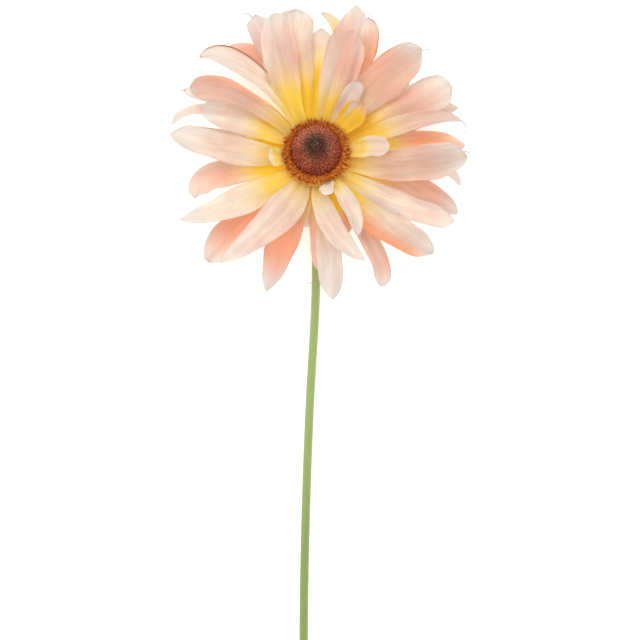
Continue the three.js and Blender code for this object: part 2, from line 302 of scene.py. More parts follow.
def ramp(tree, share, stops):
    """A Color Ramp from pairs of a place and a colour."""
    node = put(tree, "ShaderNodeValToRGB", {"Fac": share})
    points = node.color_ramp.elements
    while len(points) < len(stops):
        points.new(0.5)
    for point, (place, colour) in zip(points, stops):
        point.position = place
        point.color = colour
    return node.outputs["Color"]


def paint(tree, shader, colour):
    """Makes the colour that of the surface."""
    tree.links.new(colour, shader.inputs["Base Color"])


def bump(tree, shader, height, distance, strength=1.0):
    """Fine relief that the mesh is too coarse for."""
    feeds = {"Height": height, "Distance": distance, "Strength": strength}
    tree.links.new(put(tree, "ShaderNodeBump", feeds).outputs["Normal"], shader.inputs["Normal"])


def attribute(tree, name, output="Fac"):
    """A value that the mesh carries."""
    return put(tree, "ShaderNodeAttribute", attribute_name=name).outputs[output]


print("half of screen white is", round(tint(128, 128, 128)[0], 3), "in linear light")

# %% [markdown]
# ## The petals: where they go
#
# A gerbera's petals grow in rows. This head has three: a low row of long drooping ones, deep apricot
# where they lie in the others' shade, an upper row of broad pale ones, and a few short curled ones at
# the disc. They could be scattered by a rule, but each one here has its own place, bend and colour, so
# they are listed one by one. The azimuth of a tip is clockwise from the top of the flower, seen from
# above, and its reach is in millimetres from the disc's middle.

# %% Rows and tips
# Level and root are where a row starts, in millimetres above the lowest row and from the axis. Lift is
# the angle at which its petals leave, curl is the angle by which they droop on the way, and cup is how
# hollow they are across.
ROWS = {
    "petals_back": {"level": 0.0, "root": 12.0, "lift": 3, "curl": 40, "cup": -0.1},
    "petals_front": {"level": 1.4, "root": 12.5, "lift": 13, "curl": 30, "cup": 0.14},
    "petals_inner": {"level": 3.8, "root": 13.2, "lift": 32, "curl": 34, "cup": 0.25},
}
# A tip narrows as (1 - s**late) ** steep, where s is the share of the length.
PETAL_ENDS = {
    "round": (7, 0.55), "point": (4, 0.75), "blunt": (14, 0.45), "slant": (2.6, 0.8), "spear": (1.7, 0.85),
}

# %% What can be said of a petal
# Shape: bend and hook turn a petal sideways, all along it or near its tip, and roll twists it. Peak is
# where it is widest, and slim makes it stay narrow for longer before that. End is the shape of the tip,
# or two of them, for the left and the right edge. Left and right are the angles by which those edges
# roll over towards the tip, up if positive.
# Colour: tone runs from cream at 0 to red-orange at 1. Heart is the share of the length that is yellow,
# gold is how rich that yellow is, partly the petal's own and partly painted shade near the disc, and
# ember is how orange the part after it is, partly its own orange and partly painted shade near the
# root. Painted shade is how much darker the middle is painted, and pale is where the tip starts to
# fade. Rim is a faint brown all along the edge, and at the right edge alone, a brown streak is a
# browner line, and a deep orange band is a broad deeper band of painted shade.
EVEN_PETAL = {
    "bend": 0, "hook": 0, "roll": 0, "peak": 0.6, "slim": 1, "end": "round", "left": 0, "right": 0,
    "tone": 0.3, "heart": 0.4, "gold": 0, "ember": 0, "dusk": 0, "pale": 0.72,
    "rim": 0.25, "worn": 0, "glow": 0,
}


def petal(azimuth, reach, width, **rest):
    """A petal that is even but for what is given."""
    return {**EVEN_PETAL, "azimuth": azimuth, "reach": reach, "width": width, **rest}


print("a petal is told by", 3 + len(EVEN_PETAL), "values")

# %% The low row
PETALS = {}
PETALS["petals_back"] = [
    petal(2.3, 54.5, 12, tone=0.1, heart=0.7),
    petal(1.8, 61, 6.5, bend=-10, hook=-80, roll=-10, lift=2, curl=28, tone=0.2, heart=0.9),
    petal(19.8, 62.5, 10.5, bend=14, hook=-75, lift=1, curl=29.5, tone=0.04, ember=0.6, worn=3, pale=0.9,
          right=70),
    petal(52, 50, 14, heart=0.9),
    petal(72, 64, 12, end=("round", "slant"), heart=0.6, pale=0.75),
    petal(86.5, 63.5, 12, roll=12, tone=0.1, heart=0.5, ember=0.7, pale=0.95),
    petal(102.5, 62.5, 6, hook=70, roll=10, tone=0.1, pale=0.5),
    petal(113, 65.4, 15, bend=8, end=("round", "point"), tone=0.34, ember=0.2, dusk=0.15, pale=0.8),
    petal(146, 45.5, 10, heart=0.6, ember=0.3),
    petal(154.3, 62.7, 8.5, bend=-8, hook=62, peak=0.75, end="blunt", pale=0.8, right=30),
    petal(158, 36.5, 10, heart=0.7, ember=0.4, pale=1),
    petal(173.5, 62.3, 12.2, bend=8, peak=0.72, tone=0.12, pale=0.35),
    petal(176.5, 51, 11, tone=0.42, heart=0.4, ember=0.1, pale=0.9),
    petal(187.5, 32, 9, end="point", tone=0.05, heart=0.6, ember=0.1, pale=0.9),
    petal(199.7, 62.2, 15, peak=0.7, end="point", tone=0.46, heart=0.34, ember=0.5, pale=0.54),
    petal(226.2, 65.2, 14, peak=0.8, end=("blunt", "round"), tone=0.54, ember=0.4, pale=0.58, left=30),
    petal(249.5, 54.7, 13, bend=20, hook=-100, tone=0.18, heart=0.46, ember=0.3, pale=0.62),
    petal(277.5, 62.3, 14, bend=10, tone=0.03, pale=0.45),
    petal(281.5, 62.3, 5.5, bend=2, hook=-100, lift=2, curl=30, tone=0.2, pale=0.4),
    petal(296, 63, 11, bend=-36, tone=0.08, heart=0.5, pale=0.45),
    petal(322, 59.6, 14, bend=-30, curl=36, heart=0.5, ember=0.4, pale=1),
    petal(336.3, 65.8, 12, peak=0.75, curl=31.5, end="blunt", tone=0.22, pale=0.7),
    petal(352.6, 63.3, 18, bend=27, curl=30, end="blunt", tone=0.1, heart=0.5, pale=0.85),
]

# %% The upper row
PETALS["petals_front"] = [
    petal(15.1, 65.4, 16, lift=15, end=("point", "round"), tone=0.26, pale=0.75, left=30),
    petal(17.6, 54.3, 15, lift=19, curl=24, heart=0.44, gold=0.9, ember=0.3, pale=1, left=10, rim=0),
    petal(45, 63.3, 19, bend=12, lift=13, slim=2.4, tone=0.32, ember=0.3, dusk=0.5, pale=0.74),
    petal(63.7, 64.3, 16, bend=2, lift=9, slim=1.4, end="blunt", tone=0.26, heart=0.46, gold=0.9,
          ember=0.12, pale=0.6),
    petal(78, 63, 9.6, bend=2, hook=42, lift=15, slim=1.3, end="point", tone=0.2, heart=0.5, gold=0.7,
          ember=0.12, left=70),
    petal(91.3, 63.6, 16.6, bend=-36, lift=13, slim=1.3, end=("blunt", "round"), tone=0.28, heart=0.32,
          ember=0.2, dusk=0.5, pale=0.6),
    petal(116.6, 65, 11, bend=-28, lift=9, end=("round", "blunt"), tone=0.12, heart=0.34),
    petal(130.5, 65, 15.5, bend=-28, roll=6, lift=14, tone=0.22, heart=0.46, gold=0.6, glow=0.8,
          dusk=0.4),
    petal(155.6, 50.2, 12, bend=-54, lift=15, end=("slant", "point"), tone=0.1, heart=0.28, pale=0.45),
    petal(220.7, 62, 18, bend=38, lift=16, peak=0.42, end=("spear", "slant"), tone=0.16, heart=0.24,
          pale=0.55),
    petal(243.7, 64, 14.6, bend=30, lift=11, end=("point", "slant"), tone=0.04, heart=0.42, gold=0.4,
          pale=0.6),
    petal(277, 62, 14.8, bend=26, lift=14, end=("slant", "round"), tone=0.14, heart=0.36, pale=0.5),
    petal(290.5, 51.8, 15, bend=-20, lift=13, tone=0.08, heart=0.5, gold=0.3),
    petal(296.4, 59.4, 11.2, bend=-22, hook=-38, lift=15, peak=0.8, slim=1.3, end="blunt", tone=0.42,
          dusk=0.4, glow=0.25, pale=0.95),
    petal(309.5, 64, 14.6, bend=-34, hook=-40, lift=12, peak=0.85, slim=4, end=("slant", "round"),
          tone=0.04, worn=4, pale=0.6, right=60),
    petal(343.8, 62.3, 16, bend=24, lift=15, slim=2.2, end=("round", "blunt"), tone=0.2, heart=0.5,
          gold=0.8, glow=0.22, pale=0.7),
]

# %% The inner row
PETALS["petals_inner"] = [
    petal(32.5, 35, 9, lift=24, tone=0.2, heart=0.3),
    petal(45, 28, 12, lift=38, curl=56, tone=0.6, heart=0.95, gold=0.9, ember=0.5, dusk=0.45, pale=0.95,
          right=30),
    petal(86, 31, 11, tone=0.1, heart=0.62, pale=0.9, rim=0),
    petal(154, 39.5, 9, bend=20, roll=20, tone=0.1, heart=0.34, right=80),
    petal(160, 19.1, 8.4, roll=-14, lift=48, curl=0, end=("slant", "round"), tone=-0.1, heart=0, pale=0.9,
          left=60, rim=0),
    petal(264, 20, 9, lift=42, tone=0, heart=0.9, rim=0),
]

# %% Count the petals
for row, members in PETALS.items():
    print(row, "has", len(members), "petals")

# %% [markdown]
# ## The petals: their middle lines
#
# A petal follows one line from root to tip. Its heading and its pitch change along the way by simple
# rules, and small steps along them give the line. Where the tip lands can't be solved for directly, so
# the length and the turn of the root are corrected over and over, until it is where the list says.

# %% Follow a petal from its root to its tip
STEPS = 96
TRIALS = 20


def turned(points, angle):
    """Points turned clockwise about the head's axis."""
    cosine, sine = math.cos(angle), math.sin(angle)
    x, y, z = points[..., 0], points[..., 1], points[..., 2]
    return np.stack([x * cosine + y * sine, y * cosine - x * sine, z], axis=-1)


def laid(points):
    """Points of the head, in millimetres, as they lie on the table, in metres."""
    return points @ pose[:3, :3].T + pose[:3, 3]


def heading_of(p, s):
    """How far a petal has turned sideways at the share s of its length."""
    return np.radians(p["bend"] * s + p["hook"] * s**5)


def pitch_of(p, s):
    """How steeply it climbs there."""
    return np.radians(p["lift"] - p["curl"] * s**1.5)


def direction(heading, pitch):
    """The way a petal points, as a vector one long."""
    flat = np.cos(pitch)
    return np.stack([np.sin(heading) * flat, np.cos(heading) * flat, np.sin(pitch)], axis=-1)


def midrib(p, s):
    """Points, headings and pitches at the shares s of the length."""
    middle = (np.arange(STEPS) + 0.5) / STEPS
    steps = direction(heading_of(p, middle), pitch_of(p, middle)) / STEPS
    path = np.vstack([np.zeros(3), np.cumsum(steps, axis=0)])
    root = np.array([0, p["root"], p["level"]])
    wanted = math.radians(p["azimuth"])
    length, turn = p["reach"] - p["root"], wanted
    for _ in range(TRIALS):
        tip = (laid(turned(path[-1] * length + root, turn)) - disc_middle) / MM
        miss = wanted - math.atan2(tip[0], tip[1])
        turn += math.atan2(math.sin(miss), math.cos(miss))
        length += p["reach"] - math.hypot(tip[0], tip[1])
    knots = np.linspace(0, 1, STEPS + 1)
    points = np.stack([np.interp(s, knots, path[:, k]) for k in range(3)], axis=-1)
    return turned(points * length + root, turn), heading_of(p, s) + turn, pitch_of(p, s), length


lengths = [midrib({**ROWS[row], **p}, np.zeros(1))[3] for row in PETALS for p in PETALS[row]]
print("petals are", round(min(lengths), 1), "to", round(max(lengths), 1), "mm long")

# %% [markdown]
# ## The petals: their cloth
#
# Across its middle line a petal is a strip of thin cloth. A sheet that is bent keeps its width, so the
# cross-section is drawn by its slope: the slopes of the cup, of a few lengthwise folds, of the fine
# ribs, of the wavy edges and of the rolled edges are added up, and walking along that slope gives the
# shape. Even an edge that rolls right over then stays smooth and doesn't stretch.

# %% Shape the cross-sections
ALONG = 46
ACROSS = 24
ROOT_SHARE = 0.36  # width of the root as a share of the greatest width
TIP_HALF_WIDTH = 0.3  # the least that is left at the tip
CLOTH = 0.34  # thickness in the middle
HEM = 0.12  # and at the edges
FOLD_SLOPE = 0.46
RIB_SLOPE = 0.09
ROLL_FROM = 0.5  # share of the half width where a rolled edge begins
RUFFLE_SLOPE = 0.35
EDGE_WAVE = 0.07  # how far an edge runs in and out, as a share of the width
NOTCH = 0.02
NOTCHED_WIDTH = 3.0  # where a petal is narrower than this on each side, its notches are shallower

# Rows lie closer together towards the tip, and columns towards the edges, where the shape is finest.
s_rows = 1 - (1 - np.linspace(0, 1, ALONG + 1)) ** 1.35
even = np.linspace(-1, 1, ACROSS + 1)
u_columns = 0.65 * even + 0.35 * np.sin(even * math.pi / 2)


def smooth(low, high, value):
    """A soft step from 0 at low to 1 at high. It falls instead if low is the greater."""
    t = np.clip((value - low) / (high - low), 0, 1)
    return t * t * (3 - 2 * t)


def outline(p, s, side):
    """Share of the greatest half width at s, on the left edge for side 0 and on the right for 1."""
    ends = p["end"] if isinstance(p["end"], tuple) else (p["end"], p["end"])
    late, steep = PETAL_ENDS[ends[side]]
    swell = np.sin(math.pi / 2 * np.minimum(1, s / p["peak"])) ** p["slim"]
    return (ROOT_SHARE + (1 - ROOT_SHARE) * swell) * (1 - s**late) ** steep


def slopes(p, s, u, rng):
    """The slope of the cloth across the petal, in radians, for each row s and column u."""
    body = np.sin(math.pi * np.clip(s, 0.04, 0.96)) ** 0.6
    folds, ribs = rng.uniform(0.8, 1.5), rng.uniform(3.2, 4.6)
    drift, phase = rng.uniform(-1.2, 1.2), rng.uniform(0, 2 * math.pi)
    waves, offset = rng.uniform(1.4, 2.4), rng.uniform(0, 2 * math.pi)
    slope = 2 * p["cup"] * u
    slope = slope + FOLD_SLOPE * body * np.cos(2 * math.pi * folds * u / 2 + phase + drift * s)
    slope = slope + RIB_SLOPE * body * np.cos(2 * math.pi * ribs * u / 2 + 2 * phase)
    side = np.sign(u) * u * u
    wave = np.sin(2 * math.pi * waves * s + offset + np.sign(u))
    slope = slope + RUFFLE_SLOPE * side * wave * smooth(0.3, 0.7, s)
    for sign, angle in ((-1, p["left"]), (1, p["right"])):
        rolled = smooth(ROLL_FROM, 1, sign * u) * smooth(0.4, 0.85, s)
        slope = slope + sign * math.radians(angle) * rolled
    return slope


def cross_sections(slope, u):
    """Walks outwards from the middle along the slope. Gives how far across and how far up it is."""
    middle = (slope[:, 1:] + slope[:, :-1]) / 2
    step = np.diff(u)
    sums = []
    for part in (np.cos(middle), np.sin(middle)):
        total = np.concatenate([np.zeros((len(slope), 1)), np.cumsum(part * step, axis=1)], axis=1)
        sums.append(total - total[:, [len(u) // 2]])
    return sums


print("each side of a petal is a grid of", ALONG, "by", ACROSS, "faces")

# %% [markdown]
# ## The petals: one petal
#
# A petal of cloth isn't cut with a ruler: its edges run in and out a little and its tip is notched. Both
# come from sums of waves with random starts, which cost nothing and never leave a gap. The sheet then
# gets a thickness by moving its points out on both sides, thinner at the hem, and points that would
# sink into the table are lifted onto it.

# %% Make one petal
def uneven(s, rng):
    """A share by which an edge runs in and out."""
    slow, fast = rng.uniform(0, 2 * math.pi, 2)
    return 1 + EDGE_WAVE * np.sin(8 * s + slow) * s + EDGE_WAVE / 2 * np.sin(22 * s + fast) * s


def notches(s, u, half, rng):
    """How far each lengthwise line of the cloth stops short of the tip, as a share of the length."""
    slow, fast = rng.uniform(0, 2 * math.pi, 2)
    cut = 1 + 0.6 * np.sin(5 * u + slow) + 0.6 * np.sin(13 * u + fast)
    return NOTCH * cut * s**8 * np.minimum(1, half / NOTCHED_WIDTH)


def petal_cloth(p, number, rng):
    """The upper and lower points of a petal, in metres, and what its finish needs to know."""
    s, u = s_rows[:, None], u_columns[None, :]
    points, heading, pitch, length = midrib(p, s_rows)
    along = direction(heading, pitch)
    side = np.stack([np.cos(heading), -np.sin(heading), np.zeros_like(heading)], axis=-1)
    roll = -np.radians(p["roll"]) * s_rows[:, None]
    side = side * np.cos(roll) + np.cross(along, side) * np.sin(roll)
    normal = np.cross(side, along)
    edges = [np.maximum(TIP_HALF_WIDTH, p["width"] / 2 * outline(p, s_rows, k)) for k in (0, 1)]
    half = np.where(u < 0, *(edge[:, None] * uneven(s, rng) for edge in edges))
    out, up = (part * half for part in cross_sections(slopes(p, s, u, rng), u_columns))
    points = points[:, None] - along[:, None] * notches(s, u, half, rng)[..., None] * length
    sheet = points + out[..., None] * side[:, None] + up[..., None] * normal[:, None]
    facing = np.cross(np.gradient(sheet, axis=1), np.gradient(sheet, axis=0))
    facing /= np.linalg.norm(facing, axis=-1, keepdims=True) + 1e-12
    thick = (HEM + (CLOTH - HEM) * (1 - np.abs(u) ** 5) * (1 - s**12))[..., None]
    upper, lower = laid(sheet + facing * thick / 2), laid(sheet - facing * thick / 2)
    lower[..., 2] = np.maximum(lower[..., 2], 0)
    upper[..., 2] = np.maximum(upper[..., 2], HEM * MM)
    return upper, lower, petal_colours(p, number, s, u, half, length)


def petal_colours(p, number, s, u, half, length):
    """What the finish needs to know at each point, under the names by which it reads it."""
    grid = np.ones((len(s_rows), len(u_columns)))
    edge = np.abs(u) ** 3
    heart, from_heart = p["heart"], s - p["heart"]
    middle = smooth(0.25, 0.5, s)
    # Just past the yellow heart the petal turns deeper orange: partly its own orange and partly painted
    # shade near the root.
    ember = smooth(-0.14, 0.14, from_heart) * smooth(0.6, 0.22, from_heart) * (1 - 0.3 * u * u)
    # Painted shade: a broad deeper band towards the right edge, where a fold lies in shade.
    glow = smooth(-0.1, 0.9, u) * smooth(0.2, 0.45, s) * smooth(1.0, 0.8, s)
    rim = smooth(0.84, 1.0, np.maximum(np.abs(u) * grid, s**10 * grid)) * smooth(0.15, 0.4, s)
    fade = smooth(p["pale"], 1.02, s) * (0.75 + 0.25 * edge) + 0.18 * edge * smooth(0.4, 0.8, s)
    return {
        "tone": p["tone"] * (0.7 + 0.3 * smooth(0.15, 0.5, s)) * grid,
        "heart": (1 - smooth(heart - 0.24, heart + 0.26, s + 0.05 * u * u)) * grid,
        # Gold: partly the petal's own richer yellow and partly painted shade near the disc.
        "gold": p["gold"] * grid,
        "fade": fade * grid,
        "rim": p["rim"] * rim + p["worn"] * smooth(0.8, 0.95, u) * middle,
        "glow": np.maximum(p["glow"] * glow, p["ember"] * ember),
        # Painted shade: the middle of the petal is darker, less so at its edges.
        "dusk": p["dusk"] * middle * (1 - 0.6 * u * u),
        "grain": np.stack([u * half, s * length * grid, number * grid], axis=-1),
    }


# %% [markdown]
# ## The petals: a row as one mesh
#
# The petals of a row grow from one round plate, so they are one piece, as the row of solids is. Their
# points and faces are written straight into a mesh, which is quick for a grid that is known in advance,
# and everything that the finish needs goes along as attributes of the points.

# %% Join a row of petals into one mesh
COLLAR = 0.8  # thickness of the plate under a row's roots
COLLAR_REACH = 1.2  # how far it goes beyond them
COLLAR_SIDES = 48


def petal_faces(first):
    """Faces of one closed petal whose upper points start at number first."""
    wide = ACROSS + 1
    under = first + (ALONG + 1) * wide
    i, j = np.meshgrid(np.arange(ALONG), np.arange(ACROSS), indexing="ij")
    corner = (i * wide + j).ravel()
    top = np.stack([corner, corner + 1, corner + wide + 1, corner + wide], axis=1)
    rim = list(range(wide))
    rim += [(k + 1) * wide + ACROSS for k in range(ALONG)]
    rim += [ALONG * wide + k for k in range(ACROSS - 1, -1, -1)]
    rim += [k * wide for k in range(ALONG - 1, 0, -1)]
    rim = np.array(rim)
    after = np.roll(rim, -1)
    hem = np.stack([rim + first, rim + under, after + under, after + first], axis=1)
    return np.vstack([top + first, top[:, ::-1] + under, hem])


def collar(level, radius):
    """Points and faces of the round plate that the roots of a row grow from."""
    turns = np.linspace(0, 2 * math.pi, COLLAR_SIDES, endpoint=False)
    ring = np.stack([np.cos(turns), np.sin(turns), np.zeros_like(turns)], axis=-1) * radius
    points = np.vstack([ring + [0, 0, level + z] for z in (COLLAR / 2, -COLLAR / 2)])
    top = list(range(COLLAR_SIDES))
    under = [k + COLLAR_SIDES for k in top]
    sides = [(k, k + COLLAR_SIDES, j + COLLAR_SIDES, j) for k, j in zip(top, top[1:] + top[:1])]
    return laid(points), [tuple(top), tuple(reversed(under)), *sides]


def row_mesh(row, finish, seed):
    """The plate and the petals of a row, with their attributes and their finish."""
    rng = np.random.default_rng(seed)
    plate, faces = collar(ROWS[row]["level"], ROWS[row]["root"] + COLLAR_REACH)
    points = [plate]
    marks = {"tone": 0.5, "heart": 1.0, "fade": 0.0, "rim": 0.0, "glow": 0.0, "dusk": 0.0, "gold": 0.0}
    finishing = {key: [np.full(len(plate), value)] for key, value in marks.items()}
    finishing["grain"] = [plate / MM]
    for number, member in enumerate(PETALS[row]):
        upper, lower, colours = petal_cloth({**ROWS[row], **member}, number, rng)
        faces += petal_faces(sum(len(block) for block in points)).tolist()
        points += [upper.reshape(-1, 3), lower.reshape(-1, 3)]
        for key, value in colours.items():
            flat = value.reshape(-1, 3) if key == "grain" else value.ravel()
            finishing[key] += [flat, flat]
    shape = bpy.data.meshes.new(row)
    shape.from_pydata(np.vstack(points).tolist(), [], faces)
    for key, blocks in finishing.items():
        kind = "FLOAT_VECTOR" if key == "grain" else "FLOAT"
        layer = shape.attributes.new(key, kind, "POINT")
        field = "vector" if key == "grain" else "value"
        layer.data.foreach_set(field, np.concatenate(blocks).astype(np.float32).ravel())
    shape.shade_smooth()
    shape.set_sharp_from_angle(angle=math.radians(65))
    shape.materials.append(finish)
    return add_piece(row + "_silk", shape)


# %% [markdown]
# ## The petals: their finish
#
# Petals are silky and let light through. Their colour runs from a yellow heart through cream or
# apricot to a washed-out tip, along streaks that follow the fibres. The mesh carries how yellow, how
# red and how faded each point is, and where shade is painted on it, and noise stretched along the grain
# breaks those soft gradients into streaks, partly the cloth's own and partly painted shade of folds. A
# translucent shader mixed with the glossier one lets a petal shine where light comes through.

# %% The colours of a petal
CREAM = tint(245, 236, 223)
BLUSH = tint(237, 211, 198)
SALMON = tint(243, 190, 170)
EMBER = tint(252, 168, 134)
BUTTER = tint(250, 238, 184)
HONEY = tint(249, 228, 132)
YELLOW = tint(255, 236, 128)
AMBER = tint(255, 228, 74)
TIP = tint(236, 232, 226)
RIM = tint(206, 150, 120)
# Painted shade: a deeper orange for a band at a shaded fold and, in part, for the zone past the heart.
SHADE_ORANGE = tint(255, 186, 134)
# Painted shade: a tint that darkens a petal's middle.
SHADE_TINT = (0.83, 0.88, 0.86, 1.0)


def petal_body(tree, tone, streaks):
    """The part beyond the heart, and how it fades at the tip."""
    body = ramp(tree, tone, [(0.0, CREAM), (0.3, BLUSH), (0.68, SALMON), (1.0, EMBER)])
    faded = sum_of(tree, "ADD", attribute(tree, "fade"), swing(tree, streaks, 0.4))
    return blend_colours(tree, held(tree, faded), body, TIP)


def petal_heart(tree, yellow, tone, heart, root):
    """The yellow part, richer where the list says gold, which is partly the petal's own gold and partly
    painted shade near the disc. It is warmer on a redder petal.
    """
    golden = ramp(tree, yellow, [(0.5, heart), (1.0, root)])
    richer = ramp(tree, yellow, [(0.5, YELLOW), (1.0, AMBER)])
    golden = blend_colours(tree, attribute(tree, "gold"), golden, richer)
    return tinted(tree, golden, ramp(tree, tone, [(0.1, WHITE), (0.65, (1.0, 0.88, 0.7, 1))]))


def petal_marks(tree, body, streaks):
    """Brown edges, and painted shade: deeper orange bands and darker middles."""
    worn = ramp(tree, streaks, [(0.4, BLACK), (0.62, WHITE)])
    body = blend_colours(tree, product(tree, attribute(tree, "rim"), worn), body, RIM)
    body = blend_colours(tree, attribute(tree, "glow"), body, SHADE_ORANGE)
    return blend_colours(tree, attribute(tree, "dusk"), body, SHADE_TINT, "MULTIPLY")


# %% [markdown]
# ## The petals: fibres and folds
#
# The grain attribute says, in millimetres, where each point is on its own flat petal, so noise on it
# follows the petal through every bend. Squeezing its length makes long marks of round ones: broad
# streaks, partly painted shade of folds, fine veins, and soft crease marks, which are painted light and
# shade of folds. Each petal also reads another part of the noise than the next.

# %% Silk for the petals
# Streaks are partly the cloth's own streaky colour and partly painted shade of lengthwise folds.
STREAKS = {"squeeze": 0.07, "scale": 0.7, "detail": 3.0}
VEINS = {"squeeze": 0.05, "scale": 3.0, "detail": 2.0}
# Painted light and shade of soft folds, lighter and darker in broad patches along the petal.
CREASE_SHADING = {"squeeze": 0.12, "scale": 0.33, "detail": 1.0, "offset": 3.1}
BLOTCHES = 95.0
PETALS_APART = 7.3  # how far apart in the noise two petals are
THROUGH = 0.5  # share of the light that goes through a petal


def along_grain(tree, squeeze, scale, detail, offset=0.0):
    across, lengthwise, number = parts_of(tree, attribute(tree, "grain", "Vector"))
    apart = sum_of(tree, "MULTIPLY_ADD", number, PETALS_APART, offset)
    return noise(tree, joined(tree, across, product(tree, lengthwise, squeeze), apart), scale, detail)


def petal_silk(name, heart, root):
    """Heart and root are the colours of a row near the disc."""
    finish, tree, shader = new_finish(name, 0.6, {"Sheen Weight": 0.05, "Specular IOR Level": 0.2})
    streaks, veins, crease_shading = (along_grain(tree, **marks) for marks in (STREAKS, VEINS, CREASE_SHADING))
    blotches = noise(tree, object_place(tree), BLOTCHES)
    # Streaks shift the tone: partly the cloth's own streaky colour and partly painted shade of folds.
    tone = sum_of(tree, "ADD", attribute(tree, "tone"), swing(tree, streaks, 0.45))
    tone = sum_of(tree, "ADD", tone, swing(tree, blotches, 0.55))
    yellow = sum_of(tree, "ADD", attribute(tree, "heart"), swing(tree, streaks, 0.5))
    yellow = held(tree, product(tree, yellow, attribute(tree, "heart")))
    body = petal_body(tree, tone, streaks)
    body = blend_colours(tree, yellow, body, petal_heart(tree, yellow, tone, heart, root))
    body = petal_marks(tree, body, streaks)
    colour = tinted(tree, body, ramp(tree, veins, [(0.3, (0.95, 0.935, 0.92, 1)), (0.55, WHITE)]))
    # Painted light and shade of soft folds.
    colour = tinted(tree, colour, ramp(tree, crease_shading, [
        (0.36, (0.95, 0.94, 0.955, 1)), (0.6, (1.035, 1.03, 1.02, 1)),
    ]))
    paint(tree, shader, colour)
    bump(tree, shader, sum_of(tree, "ADD", veins, streaks), 0.1 * MM, 0.4)
    through = put(tree, "ShaderNodeBsdfTranslucent", {"Color": colour})
    feeds = {0: THROUGH, 1: shader.outputs[0], 2: through.outputs[0]}
    silk = put(tree, "ShaderNodeMixShader", feeds)
    tree.links.new(silk.outputs[0], tree.nodes["Material Output"].inputs["Surface"])
    return finish


# %% Make the three rows
SLOTS = {
    "petals_back": ("petals_peach", YELLOW, AMBER),
    "petals_front": ("petals_pale", BUTTER, HONEY),
    "petals_inner": ("petals_curled", BUTTER, HONEY),
}
for seed, (row, (slot, heart, root)) in enumerate(SLOTS.items()):
    stand_for(row_mesh(row, petal_silk(slot, heart, root), seed), slot, row)

# %% [markdown]
# ## Loose threads at the tips
#
# Here and there a fibre has come away from a petal's tip and curls into the air. Each is a short
# curve that starts on its petal, and a tree gives it a round, tapering skin.

# %% Draw the loose threads
# row, number of the petal in its list, place across its tip, length, and how far it turns aside
THREADS = [
    ("petals_back", 21, -0.4, 7.0, -80),
    ("petals_back", 19, 0.0, 5.0, -20),
    ("petals_front", 14, 0.0, 3.5, -50),
    ("petals_front", 2, 0.3, 5.0, 60),
    ("petals_front", 4, 0.0, 9.0, 120),
    ("petals_front", 5, -0.4, 5.0, 70),
    ("petals_back", 12, 0.8, 9.5, 110),
    ("petals_back", 2, 0.5, 3.0, 70),
]
THREAD_ROOT = 0.97  # share of a petal's length where its thread starts
THREAD_RADIUS = 0.2
THREAD_TAPER = 0.5  # share of the radius that is lost on the way to its end
THREAD_POINTS = 9


def thread_curves():
    """One curve object that holds all threads."""
    curves = bpy.data.curves.new("threads", "CURVE")
    curves.dimensions = "3D"
    for row, number, u, length, bend in THREADS:
        p = {**ROWS[row], **PETALS[row][number]}
        point, heading, pitch, _ = midrib(p, np.array([THREAD_ROOT]))
        point, heading, pitch = point[0], heading[0], pitch[0]
        side = np.array([math.cos(heading), -math.sin(heading), 0])
        point = point + side * u * p["width"] / 2 * outline(p, THREAD_ROOT, 0)
        share = np.linspace(0, 1, THREAD_POINTS)
        ways = direction(heading + np.radians(bend * share), pitch + 0.5 * share)
        path = laid(point + np.cumsum(ways, axis=0) * length / THREAD_POINTS)
        spline = curves.splines.new("POLY")
        spline.points.add(THREAD_POINTS - 1)
        for knot, place in zip(spline.points, path):
            knot.co = (*place[:2], max(place[2], THREAD_RADIUS * MM), 1)
    return curves


def thread_skin():
    tree, given = new_tree("thread_skin", radius=THREAD_RADIUS * MM)
    round_ = put(tree, "GeometryNodeCurvePrimitiveCircle", {"Resolution": 6, "Radius": given["radius"]})
    along = put(tree, "GeometryNodeSplineParameter").outputs["Factor"]
    taper = sum_of(tree, "MULTIPLY_ADD", along, -THREAD_TAPER, 1.0)
    feeds = {
        "Curve": given["Geometry"], "Profile Curve": round_.outputs[0], "Scale": taper, "Fill Caps": True,
    }
    end_tree(tree, given, put(tree, "GeometryNodeCurveToMesh", feeds).outputs[0])
    return tree


def thread_silk():
    finish, tree, shader = new_finish("thread_silk", 0.6, {"Sheen Weight": 0.2})
    place = object_place(tree)
    worn = noise(tree, place, 900.0)
    colour = ramp(tree, worn, [(0.3, tint(112, 84, 70)), (0.7, tint(190, 154, 130))])
    paint(tree, shader, colour)
    return finish


threads = grow("tip_threads", thread_curves(), thread_silk(), [(thread_skin(), {})])
stand_for(threads, "petals_pale")

# %% [markdown]
# ## Round cores
#
# The dome of florets, their ring and the bract cup each sit on a plain round core, a profile turned
# about the head's axis. It hides the gaps between the small pieces that cover it. A profile that starts
# or ends on the axis gets one point there, which closes it.

# %% Turn a profile about the axis
def turned_shape(name, profile, sides):
    """A closed mesh from distances and heights, listed from the lowest point outwards and up."""
    shape = bpy.data.meshes.new(name)
    points, rings, faces = [], [], []
    for r, z in profile:
        count = sides if r > 0 else 1
        rings.append(range(len(points), len(points) + count))
        angles = [2 * math.pi * k / sides for k in range(count)]
        points += [(r * math.cos(a), r * math.sin(a), z) for a in angles]
    for lower, upper in zip(rings, rings[1:]):
        for k in range(sides):
            corners = [lower[k % len(lower)], lower[(k + 1) % sides % len(lower)]]
            corners += [upper[(k + 1) % sides % len(upper)], upper[k % len(upper)]]
            faces.append(tuple(dict.fromkeys(corners)))
    shape.from_pydata(points, [], faces)
    return shape


